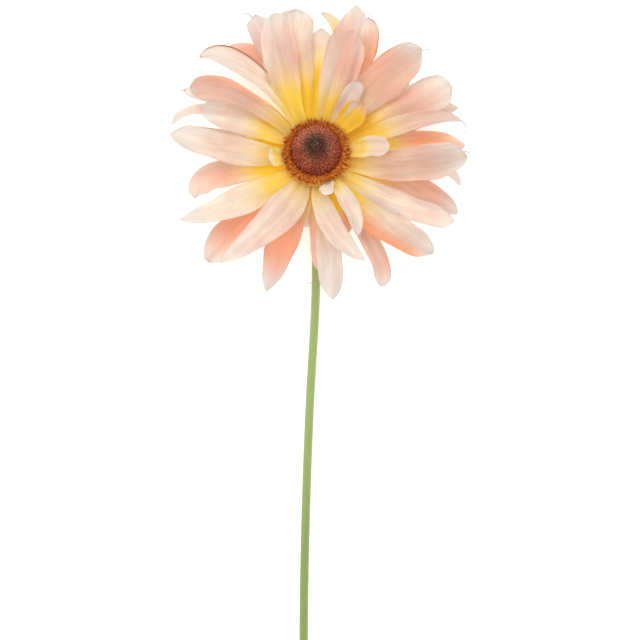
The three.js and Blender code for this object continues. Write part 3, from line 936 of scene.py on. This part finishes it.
# %% [markdown]
# ## The dome of disc florets
#
# The middle of a gerbera is a dome of hundreds of closed florets. They stand in rings whose columns
# run up to the eye, so an index and some sums place them: a ring number and a column number give two
# angles on the dome. Every bud is the same little ball, squeezed to the room that it has, and it
# carries how far it rises from the core, so that the finish can paint the gaps between buds darker, as
# painted shade.

# %% Places on the dome
DOME_RADIUS = 10.2
DOME_HEIGHT = 8.6
BUD_WIDTH = 1.04  # a bud's width and height as shares of the room that it has
BUD_HEIGHT = 1.12
BUD_SHIFT_ROUND = 0.34  # how far a bud may stray, in columns
BUD_SHIFT_UP = 0.035  # and in radians


def on_dome(tree, elevation, around, radius, height, base):
    """A place on the dome from two angles, the ways out of it and round it, and how far out it is."""
    level, rise = sum_of(tree, "COSINE", elevation), sum_of(tree, "SINE", elevation)
    cosine, sine = sum_of(tree, "COSINE", around), sum_of(tree, "SINE", around)
    flat = product(tree, level, radius)
    x, y = product(tree, flat, cosine), product(tree, flat, sine)
    z = sum_of(tree, "MULTIPLY_ADD", rise, height, base)
    out_x, out_y = product(tree, level, cosine), product(tree, level, sine)
    out_z = product(tree, rise, sum_of(tree, "DIVIDE", radius, height))
    round_ = joined(tree, product(tree, sine, -1.0), cosine, 0.0)
    return joined(tree, x, y, z), joined(tree, out_x, out_y, out_z), round_, flat


def aimed(tree, up, across):
    """A turn that brings Z to one direction and X towards another."""
    first = put(tree, "FunctionNodeAlignRotationToVector", {"Vector": up}, axis="Z").outputs[0]
    feeds = {"Rotation": first, "Vector": across}
    second = put(tree, "FunctionNodeAlignRotationToVector", feeds, axis="X", pivot_axis="Z")
    return second.outputs[0]


# %% Random numbers and kept values
def chance(tree, low, high, seed):
    """A random number between low and high for each bud or leaf."""
    feeds = {"Min": low, "Max": high, "Seed": seed}
    return shown(put(tree, "FunctionNodeRandomValue", feeds, data_type="FLOAT"))


def position(tree):
    return put(tree, "GeometryNodeInputPosition").outputs[0]


def keep(tree, shape, name, value, domain):
    """Stores a value on a shape under a name that the finish reads."""
    feeds = {"Geometry": shape, "Name": name, "Value": value}
    node = put(tree, "GeometryNodeStoreNamedAttribute", feeds, data_type="FLOAT", domain=domain)
    return node.outputs[0]


def bud(tree):
    """A little ball that carries how far its points rise, from -1 to 1."""
    ball = put(tree, "GeometryNodeMeshUVSphere", {"Segments": 6, "Rings": 5, "Radius": 0.5})
    height = parts_of(tree, position(tree))[2]
    return keep(tree, ball.outputs[0], "rise", product(tree, height, 2.0), "POINT")


# %% A tree that covers the dome with buds
def bud_rows():
    """Rings and columns of buds on a core. Sizes are in millimetres and radians."""
    tree, given = new_tree(
        "bud_rows", columns=48, rings=11, radius=DOME_RADIUS, height=DOME_HEIGHT,
        lowest=math.radians(2), highest=math.radians(72), length=0.62, seed=3,
    )
    index = put(tree, "GeometryNodeInputIndex").outputs[0]
    ring = sum_of(tree, "FLOOR", sum_of(tree, "DIVIDE", index, given["columns"]))
    column = sum_of(tree, "SUBTRACT", index, product(tree, ring, given["columns"]))
    share = sum_of(tree, "DIVIDE", ring, sum_of(tree, "SUBTRACT", given["rings"], 1.0))
    span = sum_of(tree, "SUBTRACT", given["highest"], given["lowest"])
    elevation = sum_of(tree, "MULTIPLY_ADD", share, span, given["lowest"])
    elevation = sum_of(tree, "ADD", elevation, chance(tree, -BUD_SHIFT_UP, BUD_SHIFT_UP, 5))
    astray = chance(tree, -BUD_SHIFT_ROUND, BUD_SHIFT_ROUND, given["seed"])
    turn = sum_of(tree, "DIVIDE", 2 * math.pi, given["columns"])
    around = product(tree, sum_of(tree, "ADD", column, astray), turn)
    place, outward, round_, flat = on_dome(
        tree, elevation, around, given["radius"], given["height"], DISC_BASE
    )
    count = product(tree, given["columns"], given["rings"])
    points = put(tree, "GeometryNodePoints", {"Count": count, "Position": place}).outputs[0]
    pitch = sum_of(tree, "DIVIDE", product(tree, span, given["radius"]), given["rings"])
    size = chance(tree, 0.8, 1.12, sum_of(tree, "ADD", given["seed"], 1.0))
    wide = product(tree, flat, turn, BUD_WIDTH)
    tall = product(tree, pitch, BUD_HEIGHT)
    long = product(tree, given["length"], size, 2.0)
    feeds = {
        "Points": points, "Instance": bud(tree),
        "Rotation": aimed(tree, outward, round_), "Scale": joined(tree, wide, tall, long),
    }
    buds = put(tree, "GeometryNodeInstanceOnPoints", feeds).outputs[0]
    buds = keep(tree, buds, "height_share", share, "INSTANCE")
    buds = keep(tree, buds, "chance", chance(tree, 0.0, 1.0, 7), "INSTANCE")
    z = parts_of(tree, position(tree))[2]
    up = sum_of(tree, "DIVIDE", sum_of(tree, "SUBTRACT", z, DISC_BASE), given["height"])
    core = keep(tree, given["Geometry"], "height_share", up, "POINT")
    end_tree(tree, given, core, buds)
    return tree


# %% [markdown]
# ## The velvet of the dome
#
# The buds are red-brown and dull, redder at the rim, paler higher up and dark again at the eye. A tip
# that stands out of the dome is painted lighter than the gap beside it, as painted shade in the gaps.
# Each bud differs a little from the next, and the side next to the stem is painted a deeper red, as
# painted shade on that side. The noise of a texture would do for a flat picture of this, but here
# every bud carries its own values, so the colours follow the shape.

# %% Velvet for the dome
def floret_velvet():
    constants = {"Sheen Weight": 0.04, "Specular IOR Level": 0.15}
    finish, tree, shader = new_finish("disc_florets", 0.85, constants)
    up = attribute(tree, "height_share")
    tops = ramp(tree, up, [
        (0.0, tint(140, 46, 26)), (0.2, tint(162, 82, 54)), (0.6, tint(174, 106, 76)),
        (0.85, tint(146, 98, 74)), (1.0, tint(104, 76, 58)),
    ])
    # Painted shade: the gaps between buds are darker than their tops.
    gaps = ramp(tree, up, [(0.0, tint(118, 38, 20)), (0.7, tint(152, 86, 60)), (1.0, tint(78, 62, 52))])
    lit = ramp(tree, attribute(tree, "rise"), [(0.0, BLACK), (0.5, WHITE)])
    colour = blend_colours(tree, lit, gaps, tops)
    vary = ramp(tree, attribute(tree, "chance"), [(0.0, (0.86, 0.8, 0.8, 1)), (1.0, (1.1, 1.08, 1.04, 1))])
    colour = tinted(tree, colour, vary)
    place = object_place(tree)
    patches = ramp(tree, noise(tree, place, 170.0), [(0.45, BLACK), (0.7, (0.7, 0.7, 0.7, 1))])
    colour = blend_colours(tree, patches, colour, tint(120, 40, 34))
    # Painted shade: the side towards the stem is darker and redder.
    towards_stem = sum_of(tree, "SUBTRACT", disc_middle[1], parts_of(tree, place)[1])
    share = sum_of(tree, "MULTIPLY_ADD", towards_stem, 0.5 / (DOME_RADIUS * MM), 0.5)
    stem_side_shade = ramp(tree, share, [(0.2, (1.06, 1.04, 1.0, 1)), (0.95, (0.86, 0.6, 0.56, 1))])
    colour = tinted(tree, colour, stem_side_shade)
    paint(tree, shader, colour)
    bump(tree, shader, noise(tree, place, 4000.0), 0.05 * MM)
    return finish


DOME_PROFILE = [(0, 0), (DOME_RADIUS, 0)]
DOME_PROFILE += [
    (DOME_RADIUS * math.cos(math.radians(a)), DOME_HEIGHT * math.sin(math.radians(a)))
    for a in range(9, 90, 9)
]
DOME_PROFILE += [(0, DOME_HEIGHT - 0.6)]
core = turned_shape("dome_core", [(r, z + DISC_BASE) for r, z in DOME_PROFILE], 44)
dome_pose = head_pose @ Matrix.Translation((0, 0.5, 0)) @ Matrix.Diagonal((1.0, 1.06, 1.0, 1.0))
dome = grow("disc_buds", core, floret_velvet(), [(bud_rows(), {})], dome_pose)
stand_for(dome, "disc_florets", "disc_florets")

# %% [markdown]
# ## A whorl of narrow leaves
#
# The spikes of the eye, the frayed fringe and the green bracts are all whorls: rings of narrow,
# pointed, bent leaves that lean outwards. One tree makes a whorl from a cone that is flattened and
# bent, and only its sizes change from whorl to whorl. Uneven spacing, lean and length come from seeds.

# %% A tree for a whorl
def whorl_leaf(tree, given):
    """One leaf: a cone that is flattened, full in its middle and bent."""
    feeds = {
        "Vertices": given["sides"], "Side Segments": 5, "Radius Top": 0.08, "Radius Bottom": 0.5,
        "Depth": 1.0,
    }
    cone = put(tree, "GeometryNodeMeshCone", feeds).outputs[0]
    x, y, z = parts_of(tree, position(tree))
    belly = sum_of(tree, "SINE", sum_of(tree, "MULTIPLY_ADD", z, 2.2, 0.7))
    fuller = sum_of(tree, "MULTIPLY_ADD", belly, 0.9, 0.3)
    bent = product(tree, z, z, given["bend"], given["length"])
    shaped = joined(
        tree, sum_of(tree, "ADD", product(tree, x, fuller, given["thick"]), bent),
        product(tree, y, fuller, given["width"]), product(tree, z, given["length"]),
    )
    leaf = put(tree, "GeometryNodeSetPosition", {"Geometry": cone, "Position": shaped}).outputs[0]
    return keep(tree, leaf, "rise", sum_of(tree, "DIVIDE", z, given["length"]), "POINT")


def whorl():
    """The tree. Lengths are in millimetres, and the lean is in radians from the axis."""
    tree, given = new_tree(
        "whorl", count=40, ring=10.0, base=0.0, lean=0.5, length=3.0, width=1.0, thick=0.3,
        bend=0.2, uneven=0.2, sides=6, seed=1,
    )
    index = put(tree, "GeometryNodeInputIndex").outputs[0]

    def vary(amount, offset):
        """A random change, up to the unevenness times the amount. Each offset gives another one."""
        seed = sum_of(tree, "ADD", given["seed"], float(offset))
        return product(tree, chance(tree, -1.0, 1.0, seed), product(tree, given["uneven"], amount))

    turn = sum_of(tree, "DIVIDE", 2 * math.pi, given["count"])
    around = product(tree, sum_of(tree, "ADD", index, vary(2.0, 1)), turn)
    cosine, sine = sum_of(tree, "COSINE", around), sum_of(tree, "SINE", around)
    out = product(tree, given["ring"], sum_of(tree, "ADD", vary(0.25, 2), 1.0))
    place = joined(tree, product(tree, out, cosine), product(tree, out, sine), given["base"])
    lean = sum_of(tree, "ADD", given["lean"], vary(1.6, 3))
    aside = sum_of(tree, "SINE", lean)
    tip = [product(tree, aside, cosine), product(tree, aside, sine), sum_of(tree, "COSINE", lean)]
    twisted = sum_of(tree, "ADD", around, vary(2.0, 4))
    face = joined(tree, sum_of(tree, "COSINE", twisted), sum_of(tree, "SINE", twisted))
    points = put(tree, "GeometryNodePoints", {"Count": given["count"], "Position": place}).outputs[0]
    size = sum_of(tree, "ADD", vary(1.2, 5), 1.0)
    feeds = {
        "Points": points, "Instance": whorl_leaf(tree, given),
        "Rotation": aimed(tree, joined(tree, *tip), face), "Scale": joined(tree, size, size, size),
    }
    leaves = put(tree, "GeometryNodeInstanceOnPoints", feeds).outputs[0]
    leaves = keep(tree, leaves, "chance", chance(tree, 0.0, 1.0, 9), "INSTANCE")
    end_tree(tree, given, given["Geometry"], leaves)
    return tree


WHORL = whorl()
print("the whorl tree has", len(WHORL.nodes), "nodes")


def row_of(ring, base, lean, length, count, width, **rest):
    """A whorl and its sizes, for grow. The lean is in degrees."""
    sizes = {"ring": ring, "base": base, "lean": math.radians(lean), "length": length, "count": count}
    return WHORL, {**sizes, "width": width, **rest}

# %% [markdown]
# ## The dark eye
#
# At the top of the dome stand the youngest florets, almost black, like a tuft of spikes that leans
# outwards round a paler, grey-brown middle. The whorl tree makes both: three rings of long spikes and
# three of short stubs. They stand on the dome's own surface, whose height at each ring is known.

# %% Set the eye on the dome
def eye_felt(name, dark, light):
    """Dark at the foot of a spike and light at its tip."""
    finish, tree, shader = new_finish(name, 0.8, {"Specular IOR Level": 0.3})
    low = ramp(tree, attribute(tree, "rise"), [(0.0, dark), (1.0, light)])
    vary = ramp(tree, attribute(tree, "chance"), [(0.0, (0.7, 0.7, 0.74, 1)), (1.0, (1.2, 1.1, 1.1, 1))])
    paint(tree, shader, tinted(tree, low, vary))
    bump(tree, shader, noise(tree, object_place(tree), 5000.0), 0.03 * MM)
    return finish


def dome_top(r):
    """Height of the dome at a distance from its axis."""
    return DISC_BASE + DOME_HEIGHT * math.sqrt(max(0, 1 - (r / DOME_RADIUS) ** 2))


SPIKE_ROWS = [(3.7, 70, 2.0), (2.8, 52, 2.0), (2.0, 36, 1.9)]  # distance from the axis, lean and length
STUB_ROWS = [(1.5, 16), (0.9, 12), (0.3, 7)]  # distance and count
spikes = [
    row_of(r, dome_top(r) - 0.2, lean, long, 26, 0.42, thick=0.36, bend=0.1, uneven=0.25, seed=11 + i)
    for i, (r, lean, long) in enumerate(SPIKE_ROWS)
]
eye = grow(
    "eye_spikes", bpy.data.meshes.new("eye"), eye_felt("eye_dark", tint(40, 24, 20), tint(108, 68, 48)),
    spikes, dome_pose,
)
stand_for(eye, "disc_florets")
stubs = [
    row_of(r, dome_top(r) - 0.1, 12, 1.1, count, 0.5, thick=0.45, bend=0.0, uneven=0.3, seed=20 + count)
    for r, count in STUB_ROWS
]
middle = grow(
    "eye_middle", bpy.data.meshes.new("middle"), eye_felt("eye_pale", tint(62, 48, 38), tint(158, 132, 108)),
    stubs, dome_pose,
)
stand_for(middle, "disc_florets")

# %% [markdown]
# ## The frayed fringe
#
# Round the dome runs a ragged ring of larger florets, orange-brown and as fuzzy as torn felt. Four
# whorls lean from nearly upright inside to almost flat outside, and two more of hair-thin leaves make
# the fuzz. Real hair would look alike, but strands don't travel to other programs, and thin cones do.
# The felt is painted darkest against the dome, as painted shade where the two meet, and painted lighter
# towards the stem and the right and darker on the far side, as painted light and shade.

# %% Lay the fringe round the dome
RING_INNER = 10.6  # where the fringe leaves the dome, and how wide it is
RING_WIDTH = 3.6


def fringe_felt():
    constants = {"Sheen Weight": 0.05, "Specular IOR Level": 0.1}
    finish, tree, shader = new_finish("floret_fringe", 0.9, constants)
    up = ramp(tree, attribute(tree, "rise"), [
        (0.0, tint(162, 76, 18)), (0.5, tint(198, 112, 38)), (1.0, tint(226, 152, 74)),
    ])
    vary = ramp(tree, attribute(tree, "chance"), [(0.0, (0.9, 0.84, 0.8, 1)), (1.0, (1.06, 1.05, 1.04, 1))])
    colour = tinted(tree, up, vary)
    place = object_place(tree)
    felt = ramp(tree, noise(tree, place, 700.0, 4.0), [
        (0.35, (0.8, 0.68, 0.6, 1)), (0.65, (1.08, 1.08, 1.1, 1)),
    ])
    colour = tinted(tree, colour, felt)
    # Painted shade: darkest where the felt meets the dome.
    feeds = {0: place, 1: tuple(disc_middle)}
    out = put(tree, "ShaderNodeVectorMath", feeds, operation="DISTANCE").outputs["Value"]
    share = sum_of(tree, "DIVIDE", sum_of(tree, "SUBTRACT", out, RING_INNER * MM), RING_WIDTH * MM)
    outwards = ramp(tree, share, [
        (0.0, (0.6, 0.42, 0.36, 1)), (0.4, WHITE), (1.0, (1.0, 1.02, 1.05, 1)),
    ])
    colour = tinted(tree, colour, outwards)
    # Painted light and shade: lighter towards the stem and the right, darker on the far side.
    x, y, _ = parts_of(tree, place)
    rightwards = sum_of(tree, "SUBTRACT", x, disc_middle[0])
    towards_stem = sum_of(tree, "SUBTRACT", disc_middle[1], y)
    towards_lit_side = sum_of(tree, "MULTIPLY_ADD", rightwards, 0.4, towards_stem)
    share = sum_of(tree, "MULTIPLY_ADD", towards_lit_side, 0.5 / ((RING_INNER + RING_WIDTH) * MM), 0.5)
    side = ramp(tree, share, [(0.1, (0.9, 0.8, 0.72, 1)), (0.85, (1.14, 1.24, 1.2, 1))])
    colour = tinted(tree, colour, side)
    paint(tree, shader, colour)
    bump(tree, shader, noise(tree, place, 3000.0, 4.0), 0.1 * MM)
    return finish


# %% The ring under the fringe
RING_PROFILE = [(10.0, 0), (12.6, 0), (13.4, 0.7), (12.9, 1.6), (11.6, 2.2), (10.0, 1.9)]
RING_SIDES = 60


def fringe_core():
    """A closed ring. Its profile is a loop, so the last round of points joins the first."""
    shape = bpy.data.meshes.new("fringe_core")
    turns = [2 * math.pi * k / RING_SIDES for k in range(RING_SIDES)]
    points = [(r * math.cos(a), r * math.sin(a), z + DISC_BASE) for r, z in RING_PROFILE for a in turns]
    faces = []
    for i in range(len(RING_PROFILE)):
        low, high = i * RING_SIDES, (i + 1) % len(RING_PROFILE) * RING_SIDES
        for k in range(RING_SIDES):
            after = (k + 1) % RING_SIDES
            faces.append((low + k, low + after, high + after, high + k))
    shape.from_pydata(points, [], faces)
    for name, value in (("rise", 0.3), ("chance", 0.6)):
        layer = shape.attributes.new(name, "FLOAT", "POINT")
        layer.data.foreach_set("value", [value] * len(points))
    return shape


# %% Lay the fringe and its fuzz
FRINGE_ROWS = [
    # distance from the axis, height above the disc's base, lean, length, count, width and bend
    (12.7, 0.6, 84, 1.5, 72, 1.3, 0.1),
    (12.5, 1.2, 70, 1.7, 72, 1.3, 0.2),
    (12.0, 1.7, 52, 1.8, 66, 1.2, 0.3),
    (11.3, 1.9, 20, 1.5, 58, 1.1, 0.3),
]
FUZZ_ROWS = [(12.6, 1.2, 66, 1.7, 760), (11.0, 1.8, 42, 1.5, 420)]
fringe_steps = [
    row_of(r, DISC_BASE + z, lean, long, count, wide, thick=0.6, bend=bend, uneven=0.4, seed=40 + i)
    for i, (r, z, lean, long, count, wide, bend) in enumerate(FRINGE_ROWS)
]
fringe_steps += [
    row_of(r, DISC_BASE + z, lean, long, count, 0.22, thick=0.16, bend=0.2, uneven=0.36, sides=3,
           seed=51 + i)
    for i, (r, z, lean, long, count) in enumerate(FUZZ_ROWS)
]
fringe = grow("fringe", fringe_core(), fringe_felt(), fringe_steps, head_pose)
stand_for(fringe, "floret_fringe", "floret_ring")

# %% [markdown]
# ## The bract cup
#
# Under the petals sits a green cup covered with narrow bracts that overlap like tiles. It is out of
# sight in the usual view, and shows when the flower is looked at from the side or from below. The same
# whorl tree lays three rows of bracts up the wall of a turned core.

# %% Make the cup and its bracts
def bract_green():
    finish, tree, shader = new_finish("bracts", 0.65, {"Sheen Weight": 0.2})
    up = ramp(tree, attribute(tree, "rise"), [
        (0.0, tint(150, 176, 92)), (0.6, tint(120, 152, 66)), (1.0, tint(104, 112, 58)),
    ])
    place = object_place(tree)
    mottle = ramp(tree, noise(tree, place, 600.0, 4.0), [
        (0.3, (0.85, 0.86, 0.8, 1)), (0.7, (1.08, 1.08, 1, 1)),
    ])
    paint(tree, shader, tinted(tree, up, mottle))
    bump(tree, shader, noise(tree, place, 2500.0, 3.0), 0.08 * MM)
    return finish


CUP_PROFILE = [
    (0, -12), (1.9, -12), (2.7, -11.6), (3.7, -10.7), (5.4, -9.5), (7.2, -8.5), (8.8, -7.0), (9.8, -5.3),
    (10.8, -3.2), (11.2, -1.6), (11.0, -1.0), (0, -1.0),
]
BRACT_ROWS = [
    # distance from the axis, height, lean, length, count, width and bend
    (6.9, -8.6, 44, 8.8, 17, 3.0, -0.05),
    (4.6, -10.4, 56, 8.0, 15, 2.9, -0.1),
    (2.6, -11.7, 66, 6.4, 12, 2.6, -0.1),
]
bract_steps = [
    row_of(r, z, lean, long, count, wide, thick=0.9, bend=bend, uneven=0.05, sides=8, seed=60 + i)
    for i, (r, z, lean, long, count, wide, bend) in enumerate(BRACT_ROWS)
]
cup = grow("bract_cup", turned_shape("cup_core", CUP_PROFILE, 48), bract_green(), bract_steps, head_pose)
stand_for(cup, "bracts", "involucre")

# %% [markdown]
# ## The stem
#
# The stem is one long bare stalk. It leaves the cup downwards, along the head's axis, turns level in a
# short neck and lies along the table in a slow curve. Its middle line is a smooth curve through a few
# points, the same ones that the solid follows. The pull at each point is worked out from the distances
# to its neighbours, because an even pull would make the line swing where the points are far apart.

# %% Draw the stem's middle line
STEM_RADIUS = 1.83
CUP_BOTTOM = -12.0
INTO_CUP = 0.1  # how far the stem reaches into the cup
STRAIGHT = 1.8  # how far it goes on below the cup before it turns
NECK_POINTS = 6
LEVEL_FROM = (0, 2.5, 8)  # points after the neck that keep the stem level there
STEM_SWAY = [(0.1, -34), (-0.2, -60), (-2.8, -108), (-4.6, -160), (-5.3, -210), (-4.6, -280), (-2.2, -350)]


def axis_point(z):
    """A point of the head's axis as seen from the point of the table under the head."""
    return np.array([0, z * math.sin(HEAD_TILT), HEAD_HEIGHT + z * math.cos(HEAD_TILT)])


def stem_points():
    """From the cup round the neck, most of a quarter circle, and on along the table."""
    start = axis_point(CUP_BOTTOM - STRAIGHT)
    turn = math.pi / 2 - HEAD_TILT
    neck_radius = (start[2] - STEM_RADIUS) / (1 - math.cos(turn))
    neck_end = start[1] - neck_radius * math.sin(turn)
    points = [axis_point(CUP_BOTTOM + INTO_CUP)]
    for i in range(NECK_POINTS):
        angle = turn * (1 - i / NECK_POINTS)
        drop = neck_radius * (1 - math.cos(angle))
        points.append(np.array([0, neck_end + neck_radius * math.sin(angle), STEM_RADIUS + drop]))
    flat = [(0, neck_end - further) for further in LEVEL_FROM] + STEM_SWAY
    points += [np.array([x, y, STEM_RADIUS]) for x, y in flat]
    return np.array(points)


def smooth_path(points, per_span=10):
    """A curve through the points whose speed fits their uneven distances."""
    ends = [2 * points[0] - points[1], *points, 2 * points[-1] - points[-2]]
    path = []
    for before, start, end, after in zip(ends, ends[1:], ends[2:], ends[3:]):
        pairs = ((before, start), (start, end), (end, after))
        back, here, ahead = (max(1e-4, np.linalg.norm(second - first) ** 0.5) for first, second in pairs)
        leave = ((start - before) / back - (end - before) / (back + here) + (end - start) / here) * here
        arrive = ((end - start) / here - (after - start) / (here + ahead) + (after - end) / ahead) * here
        for share in np.arange(per_span) / per_span:
            square, cube = share * share, share * share * share
            path.append(
                (2 * cube - 3 * square + 1) * start + (cube - 2 * square + share) * leave
                + (-2 * cube + 3 * square) * end + (cube - square) * arrive
            )
    return np.array([*path, points[-1]])


def stem_curve():
    path = smooth_path(stem_points())
    path[:, 2] = np.maximum(path[:, 2], STEM_RADIUS)
    curve = bpy.data.curves.new("stem", "CURVE")
    curve.dimensions = "3D"
    curve.twist_mode = "MINIMUM"
    spline = curve.splines.new("POLY")
    spline.points.add(len(path) - 1)
    for knot, place in zip(spline.points, path * MM + [head_place.x, head_place.y, 0]):
        knot.co = (*place, 1)
    print("stem path of", len(path), "points")
    return curve


# %% [markdown]
# ## The stem's skin
#
# A tree sweeps a circle along the middle line, a little swollen where it leaves the cup, and pushes the
# skin in between faint lengthwise ridges. The circle and the line keep how far round and how far down
# each point is, so the green's fibres can run lengthwise and its shade can change on the way down.

# %% Give the stem its skin
RIDGES = 9
RIDGE_DEPTH = 0.018
NECK_SWELLING = 0.22  # how much thicker the stem is at the cup, and how quickly that is over
NECK_FADE = 130.0


def stem_skin():
    tree, given = new_tree(
        "stem_skin", radius=STEM_RADIUS * MM, ridges=RIDGES, depth=RIDGE_DEPTH * MM, sides=36,
    )
    along = put(tree, "GeometryNodeSplineParameter").outputs["Factor"]
    feeds = {"Resolution": given["sides"], "Radius": given["radius"]}
    ring = put(tree, "GeometryNodeCurvePrimitiveCircle", feeds).outputs[0]
    ring = keep(tree, ring, "round", along, "POINT")
    path = keep(tree, given["Geometry"], "down", along, "POINT")
    fading = sum_of(tree, "EXPONENT", product(tree, along, -NECK_FADE))
    size = sum_of(tree, "ADD", product(tree, fading, NECK_SWELLING), 1.0)
    feeds = {"Curve": path, "Profile Curve": ring, "Scale": size, "Fill Caps": True}
    skin = put(tree, "GeometryNodeCurveToMesh", feeds).outputs[0]
    round_ = put(tree, "GeometryNodeInputNamedAttribute", {"Name": "round"}, data_type="FLOAT").outputs[0]
    wave = sum_of(tree, "COSINE", product(tree, round_, given["ridges"], 2 * math.pi))
    inward = product(tree, sum_of(tree, "SUBTRACT", wave, 1.0), given["depth"])
    normal = put(tree, "GeometryNodeInputNormal").outputs[0]
    push = put(tree, "ShaderNodeVectorMath", {0: normal, "Scale": inward}, operation="SCALE").outputs[0]
    ridged = put(tree, "GeometryNodeSetPosition", {"Geometry": skin, "Offset": push}).outputs[0]
    end_tree(tree, given, ridged)
    return tree


def stem_green():
    finish, tree, shader = new_finish("stem", 0.5, {"Specular IOR Level": 0.4, "Sheen Weight": 0.1})
    down = attribute(tree, "down")
    body = ramp(tree, down, [
        (0.0, tint(158, 174, 108)), (0.18, tint(154, 172, 106)), (0.5, tint(130, 150, 82)),
        (1.0, tint(120, 148, 76)),
    ])
    skin = joined(tree, product(tree, attribute(tree, "round"), 14.0), product(tree, down, 26.0))
    fibres = noise(tree, skin, 1.6, 4.0)
    streak = ramp(tree, fibres, [(0.3, (0.9, 0.92, 0.86, 1)), (0.7, (1.05, 1.04, 1.04, 1))])
    paint(tree, shader, tinted(tree, body, streak))
    bump(tree, shader, fibres, 0.05 * MM)
    return finish


stem = grow("stem_skin", stem_curve(), stem_green(), [(stem_skin(), {})])
stand_for(stem, "stem", "stem")

# %% [markdown]
# ## The table and the light
#
# Petals this thin look best with light on both sides, so the white table shines a little itself, as a
# light table does, and keeps the shadows faint. The rest comes from an even white sky and one large
# lamp, whose slight direction models the folds.

# %% Pale table and soft light
TABLE_GLOW = 0.35
TABLE_REACH = 4.0  # metres to each side
SKY_GLOW = 1.1
LAMP_PLACE = Vector((-0.5, 1.0, 1.3))
LAMP_AIM = Vector((0, 0.14, 0))
LAMP_SIZE = 1.3
LAMP_POWER = 8


def pale_table():
    shape = bpy.data.meshes.new("table")
    corners = [(x * TABLE_REACH, y * TABLE_REACH, 0) for x, y in ((-1, -1), (1, -1), (1, 1), (-1, 1))]
    shape.from_pydata(corners, [], [(0, 1, 2, 3)])
    finish, tree, shader = new_finish("table_white", 0.9, {"Specular IOR Level": 0.1})
    place = object_place(tree)
    grain = noise(tree, place, 40.0)
    colour = ramp(tree, grain, [(0.0, tint(250, 250, 249)), (1.0, tint(254, 254, 254))])
    paint(tree, shader, colour)
    tree.links.new(colour, shader.inputs["Emission Color"])
    shader.inputs["Emission Strength"].default_value = TABLE_GLOW
    shape.materials.append(finish)
    table = bpy.data.objects.new("table", shape)
    bpy.context.scene.collection.objects.link(table)


pale_table()

# %% Sky and lamp
world = bpy.data.worlds.new("studio")
bpy.context.scene.world = world
world.use_nodes = True
sky = world.node_tree.nodes["Background"].inputs
sky["Color"].default_value = (1, 1, 1, 1)
sky["Strength"].default_value = SKY_GLOW

lamp = bpy.data.lights.new("key", "AREA")
lamp.size = LAMP_SIZE
lamp.energy = LAMP_POWER
holder = bpy.data.objects.new("key", lamp)
holder.location = LAMP_PLACE
holder.rotation_euler = (LAMP_AIM - LAMP_PLACE).to_track_quat("-Z", "Y").to_euler()
bpy.context.scene.collection.objects.link(holder)
print("lamp", round((LAMP_AIM - LAMP_PLACE).length, 2), "m from the head")
bpy.context.scene.view_settings.view_transform = "Standard"
